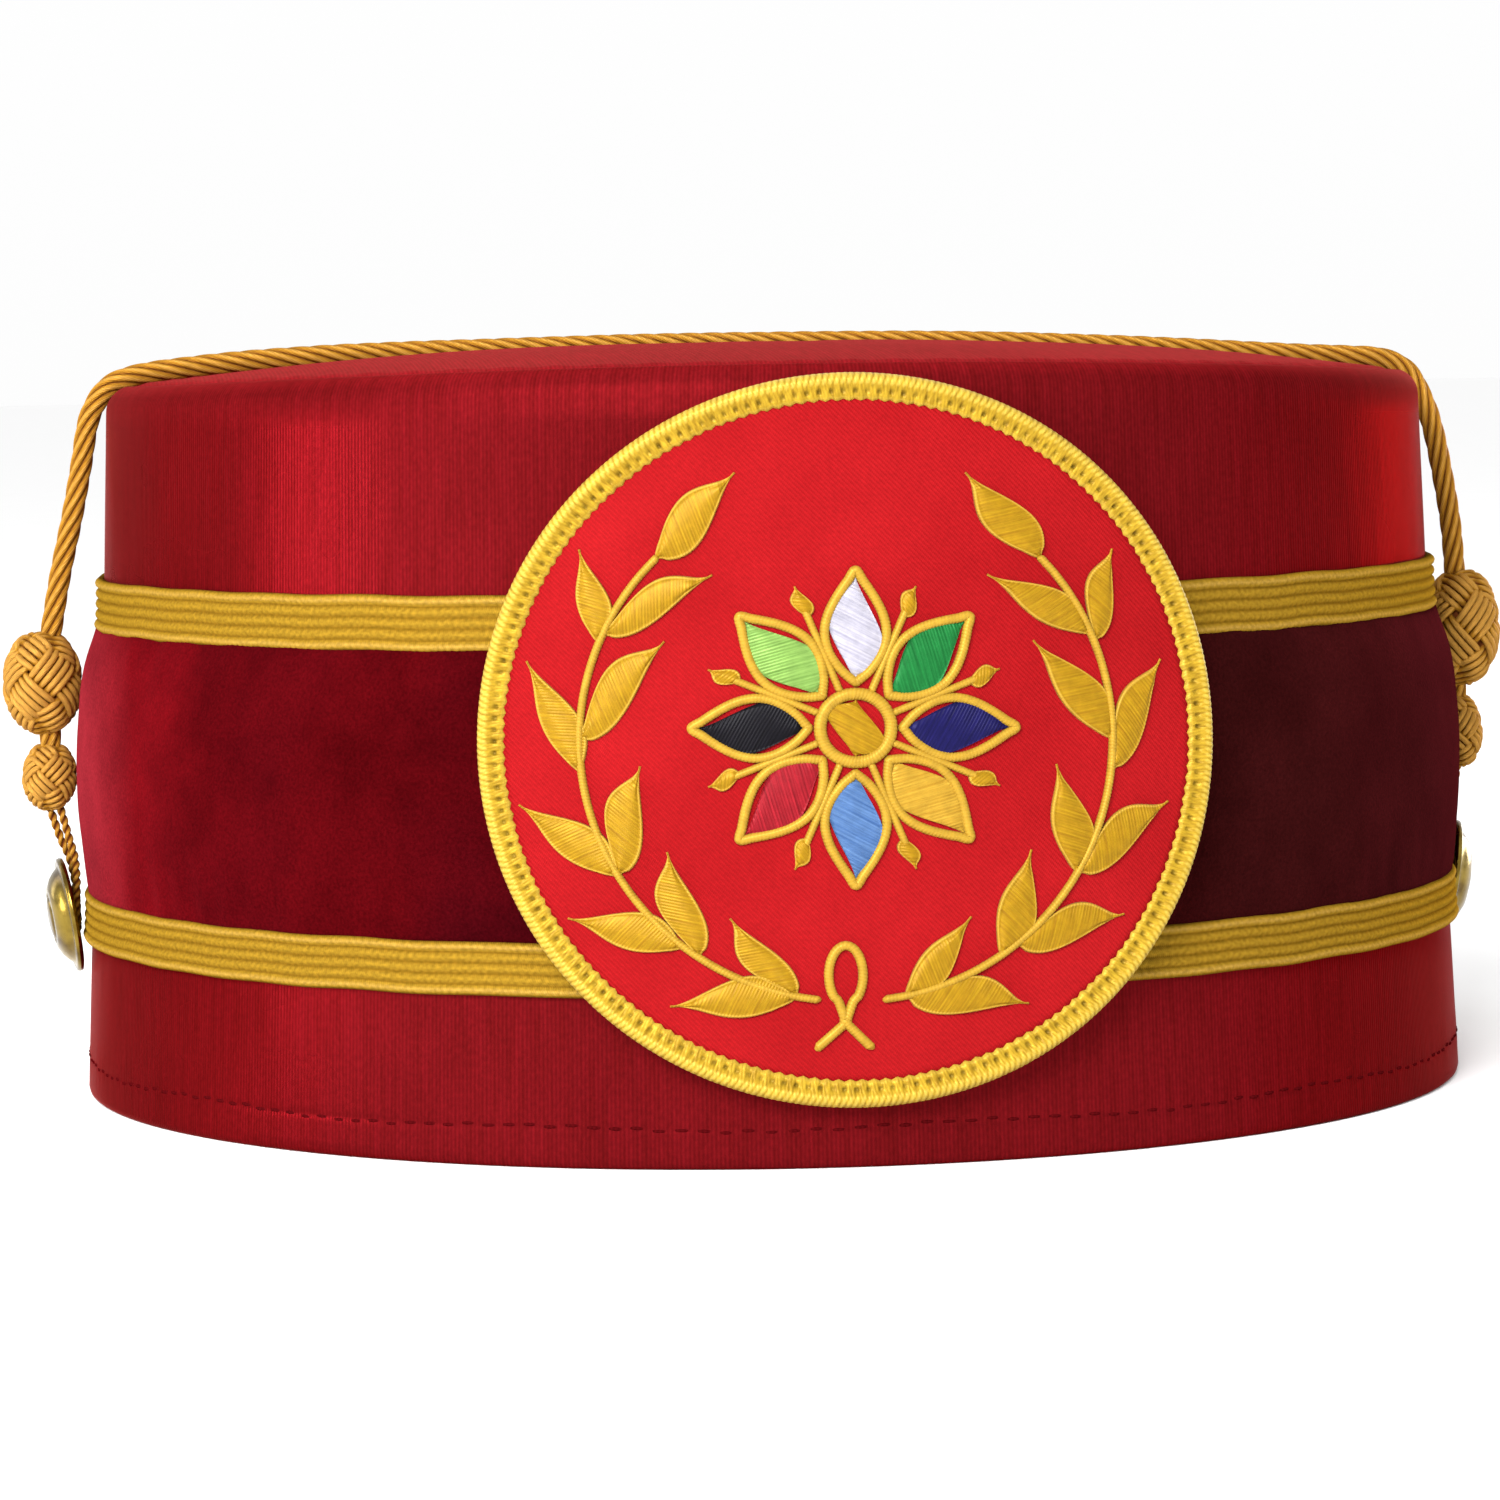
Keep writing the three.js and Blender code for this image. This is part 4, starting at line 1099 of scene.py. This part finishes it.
# The leaves: where each leaves the stem, its tip, its width, and whether it is outside.
LEAVES = [
    (11.5, (-21.2, -32.2), 5.1, True), (11.5, (-14.2, -21.5), 4.2, False),
    (38, (-33.2, -21.5), 5.0, True), (34, (-21.5, -13.4), 5.0, False),
    (59, (-39.0, -7.7), 5.0, True), (59, (-24.6, -3.0), 5.2, False),
    (83, (-38.0, 9.8), 4.7, True), (90, (-21.7, 12.1), 5.2, False),
    (112, (-31.7, 23.3), 4.1, True), (114, (-16.1, 20.1), 4.6, False),
]
TOP_LEAF = (134, (-13.5, 32.5), 5.4)


def stem_point(degrees):
    turn = math.radians(degrees)
    return np.array([-STEM_RADIUS * math.sin(turn), -STEM_RADIUS * math.cos(turn)])


def make_branch(where, gold):
    """One branch of the laurel wreath. The right one mirrors the left one."""
    mirror = 1 if where == "left" else -1

    def place(point):
        return np.array(point) * (mirror, 1) + WREATH_MIDDLE

    shape = Shape()
    for at, tip, width, is_outer in LEAVES:
        stemward = (-1 if is_outer else 1) * mirror
        satin_leaf(shape, place(stem_point(at)), place(tip), width, stemward)
    at, tip, width = TOP_LEAF
    satin_leaf(shape, place(stem_point(at)), place(tip), width, 0)
    stem = [place(stem_point(d)) for d in np.linspace(STEM_FROM, STEM_TO + 1, 22)]
    satin_line(shape, stem, STEM_WIDTH, STITCH_HEIGHT)
    shape.piece(f"laurel_{where}", gold, "gold_thread", f"wreath_{where}_branch")


TIE_CROSSING = (WREATH_MIDDLE[0] - 0.7, -34.2)
TIE_LOOP_MIDDLE = -28.5
TIE_HALF_WIDTH, TIE_HALF_HEIGHT = 2.0, 3.6
TIE_WIDTH = 1.12
TIE_LEGS = [(-4.8, -37.5), (2, -37.5)]


def make_tie(gold):
    """The looped ribbon end at the wreath's foot."""
    opening = 0.42
    turns = np.linspace(opening, TURN - opening, 14) - math.pi / 2
    crossing = np.array(TIE_CROSSING)
    half = np.array([TIE_HALF_WIDTH, TIE_HALF_HEIGHT])
    middle = np.array([crossing[0], TIE_LOOP_MIDDLE])
    loop = [middle + half * (math.cos(t), math.sin(t)) for t in turns]
    shape = Shape()
    satin_line(shape, [crossing, *loop, crossing], TIE_WIDTH, STITCH_HEIGHT)
    for index, leg in enumerate(TIE_LEGS):
        start = crossing + (loop[-index] - crossing) * 0.3
        satin_line(shape, [start, crossing, np.array(leg)], TIE_WIDTH, 0.75 + 0.12 * index)
    shape.piece("tie_stitching", gold, "gold_thread", "ribbon_tie")


# An eight-petalled rosette fills the middle: gold outlines round coloured petals.
ROSETTE_V = 1.5
PETALS = ["white", "green", "navy", "yellow", "light_blue", "crimson", "black", "light_green"]
PETAL_FROM, PETAL_TO, PETAL_WIDTH = 4.3, 20.3, 8.4
ROSETTE_LINE = 1.15
PETAL_HEIGHT = 0.62
EVEN_PEAKS = (0.44, 0.44)
RING_RADIUS, RING_WIDTH, RING_HEIGHT = 4.15, 1.5, 0.95
STAMEN_FROM, STAMEN_TO, STAMEN_HEAD = 4.5, 15, 18.6
STAMEN_WIDTH, STAMEN_HEAD_WIDTH = 0.9, 2.4


def rosette_point(radius, turn):
    return np.array([radius * math.sin(turn), ROSETTE_V + radius * math.cos(turn)])


def petal_outline(turn, inset):
    """Points round a petal's outline, drawn in by an inset."""
    start = rosette_point(PETAL_FROM + inset * 2.1, turn)
    end = rosette_point(PETAL_TO - inset * 2.1, turn)
    along = end - start
    across = unit(np.array([-along[1], along[0]]))
    shares = np.linspace(0, 1, 12)[:-1]
    half = (PETAL_WIDTH - 2 * inset) / 2

    def side(half, t):
        t = t[:, None]
        return start + along * t + across * half * np.sin(math.pi * t**0.85)

    return np.vstack([side(-half, shares), side(half, 1 - shares)])


def make_rosette(gold, threads):
    outlines = Shape()
    for index, name in enumerate(PETALS):
        turn = TURN * index / len(PETALS)
        rim = petal_outline(turn, ROSETTE_LINE / 2)
        satin_line(outlines, rim, ROSETTE_LINE, STITCH_HEIGHT, ring=True)
        between = turn + math.pi / len(PETALS)
        stalk = [rosette_point(r, between) for r in (STAMEN_FROM, 9, STAMEN_TO + 0.6)]
        satin_line(outlines, stalk, STAMEN_WIDTH, 0.7)
        head = rosette_point(STAMEN_TO - 0.6, between), rosette_point(STAMEN_HEAD, between)
        satin_leaf(outlines, *head, STAMEN_HEAD_WIDTH, 0, 0.75, EVEN_PEAKS, outline=0.3)
        petal = Shape()
        start = rosette_point(PETAL_FROM + ROSETTE_LINE * 1.5, turn)
        end = rosette_point(PETAL_TO - ROSETTE_LINE * 1.5, turn)
        width = PETAL_WIDTH - 1.6 * ROSETTE_LINE
        satin_leaf(petal, start, end, width, 0, PETAL_HEIGHT, EVEN_PEAKS, outline=0.02)
        petal.piece(f"petal_{name}_stitching", threads[name], f"{name}_thread", f"petal_{name}")
    ring = [rosette_point(RING_RADIUS, t) for t in full_turn(24)]
    satin_line(outlines, ring, RING_WIDTH, RING_HEIGHT, ring=True)
    outlines.piece("rosette_outlines", gold, "gold_thread", "rosette_frame")
    boss = Shape()
    radius = RING_RADIUS - RING_WIDTH / 2 + 0.1
    foot, top = rosette_point(-radius, 0), rosette_point(radius, 0)
    satin_leaf(boss, foot, top, 2 * radius, 0, peaks=(0.5, 0.5), outline=0.02)
    boss.piece("boss_stitching", gold, "gold_thread", "rosette_boss")


# The petals' threads: a deep, a usual and an edge colour.
PETAL_COLOURS = {
    "white": [(130, 128, 142), (158, 155, 164), (170, 170, 178)],
    "green": [(12, 76, 32), (24, 100, 46), (46, 118, 66)],
    "navy": [(12, 10, 48), (20, 17, 68), (34, 32, 90)],
    "yellow": [(140, 104, 26), (160, 126, 40), (166, 138, 66)],
    "light_blue": [(48, 76, 120), (74, 102, 142), (98, 122, 154)],
    "crimson": [(98, 12, 20), (134, 22, 32), (148, 40, 48)],
    "black": [(5, 4, 7), (12, 10, 16), (28, 26, 34)],
    "light_green": [(84, 116, 50), (110, 142, 70), (130, 152, 92)],
}


# ---- Buttons ----

BUTTON_RADIUS = 7.9
BUTTON_TILT = math.radians(9)
BUTTON_TURN = math.radians(6)  # its face looks this far round to the front
BUTTON_BACK = 95.8
# The head's section from the back's middle round to the face's: inset from the rim, height.
BUTTON_ROWS = [
    (7.86, -1.0), (6.75, -1.0), (6.7, -0.2), (6.3, 0.0), (0.5, 0.0), (0.12, 0.14),
    (0.0, 0.5), (0.12, 0.86), (0.5, 1.0), (1.0, 0.98), (1.3, 1.12), (1.8, 1.7),
    (2.6, 2.35), (3.7, 2.9), (4.4, 3.02), (4.6, 2.84), (4.85, 2.84), (5.05, 3.1),
    (5.9, 3.3), (6.9, 3.4), (7.86, 3.42),
]


def make_button(where, side, metal):
    """A domed button with a rolled rim, its face outwards and leaning a little down."""
    low, high = node_box(f"button_{where}")
    middle = (low[2] + high[2]) / 2 - 0.12
    turn = full_turn(64)[None]
    rows = np.array(BUTTON_ROWS)
    radius = (BUTTON_RADIUS - rows[:, 0])[:, None]
    out = rows[:, 1][:, None]
    across, up = round_middle(radius, turn)
    out, up = turned(out, up, BUTTON_TILT)
    out, across = turned(out, across, BUTTON_TURN)
    x = side * (BUTTON_BACK + out)
    y = AXIS_Y + BUTTON_BEHIND + across
    shape = Shape()
    shape.add(joined(x, y, middle + up))
    shape.piece(f"domed_button_{where}", metal, "gold_metal", f"button_{where}")


# ---- The floor and the light ----


FLOOR_REACH = 9  # metres


def make_floor(material):
    mesh = bpy.data.meshes.new("floor")
    corners = np.array([(-1, -1, 0), (1, -1, 0), (1, 1, 0), (-1, 1, 0)]) * FLOOR_REACH
    mesh.from_pydata(corners.tolist(), [], [(0, 1, 2, 3)])
    mesh.materials.append(material)
    floor = bpy.data.objects.new("floor", mesh)
    bpy.context.scene.collection.objects.link(floor)


# One soft light a row: where it stands in metres, its width and height, its power.
LIGHTS = {
    "key": ((-0.55, -1.17, 0.72), (0.75, 0.55), 39),
    "left_strip": ((-1.24, -0.07, 0.21), (0.2, 0.42), 4.8),
    "left_fill": ((-1.05, -0.56, 0.22), (0.5, 0.42), 1.5),
    "left_rim": ((-1.0, 0.75, 0.35), (0.3, 0.6), 1.2),
    "right_panel": ((1.02, 0.85, 0.16), (0.6, 0.32), 6),
}
LIGHT_AIM = Vector((0, 0, 0.05))
# The even white surround: as bright at the horizon as the far floor that it meets.
SKY_HORIZON, SKY_TOP = 0.985, 1.02
SKY_FADE = 0.25


def make_lights():
    for name, (place, size, power) in LIGHTS.items():
        light = bpy.data.lights.new(name, "AREA")
        light.shape = "RECTANGLE"
        light.size, light.size_y = size
        light.energy = power
        lamp = bpy.data.objects.new(name, light)
        lamp.location = place
        lamp.rotation_euler = (LIGHT_AIM - Vector(place)).to_track_quat("-Z", "Y").to_euler()
        bpy.context.scene.collection.objects.link(lamp)
    world = bpy.data.worlds.new("studio")
    world.use_nodes = True
    nodes, links = world.node_tree.nodes, world.node_tree.links
    direction = nodes.new("ShaderNodeTexCoord")
    height = nodes.new("ShaderNodeSeparateXYZ")
    glow = nodes.new("ShaderNodeMapRange")
    glow.inputs["From Max"].default_value = SKY_FADE
    glow.inputs["To Min"].default_value = SKY_HORIZON
    glow.inputs["To Max"].default_value = SKY_TOP
    links.new(direction.outputs["Generated"], height.inputs[0])
    links.new(height.outputs["Z"], glow.inputs["Value"])
    links.new(glow.outputs[0], nodes["Background"].inputs["Strength"])
    nodes["Background"].inputs["Color"].default_value = (1, 1, 1, 1)
    bpy.context.scene.world = world
    bpy.context.scene.view_settings.view_transform = "Standard"


# ---- Everything, the camera and the cords first ----

make_camera()
make_cords(cord_look())
make_side(satin_look("crimson_satin", 0.5))
make_tip(satin_look("crown_satin", 0.05))
make_velvet(velvet_look())
gold_braid = braid_look()
for node in ("lower_braid", "upper_braid"):
    make_braid(node, gold_braid)
gold_thread = embroidery_look("gold_thread", (125, 89, 11), (145, 111, 16), (160, 126, 42))
border_thread = embroidery_look("border_thread", (128, 98, 18), (160, 129, 32), (183, 156, 64))
petal_threads = {name: embroidery_look(f"{name}_thread", *colours)
                 for name, colours in PETAL_COLOURS.items()}
make_hem_stitches(satin_look("hem_thread", 0.0, 0.0, 0.5))
make_ground(twill_look())
make_border(border_thread)
make_branch("left", gold_thread)
make_branch("right", gold_thread)
make_tie(gold_thread)
make_rosette(gold_thread, petal_threads)
metal = button_look()
for where, side in SIDES:
    make_button(where, side, metal)
make_floor(floor_look())
make_lights()
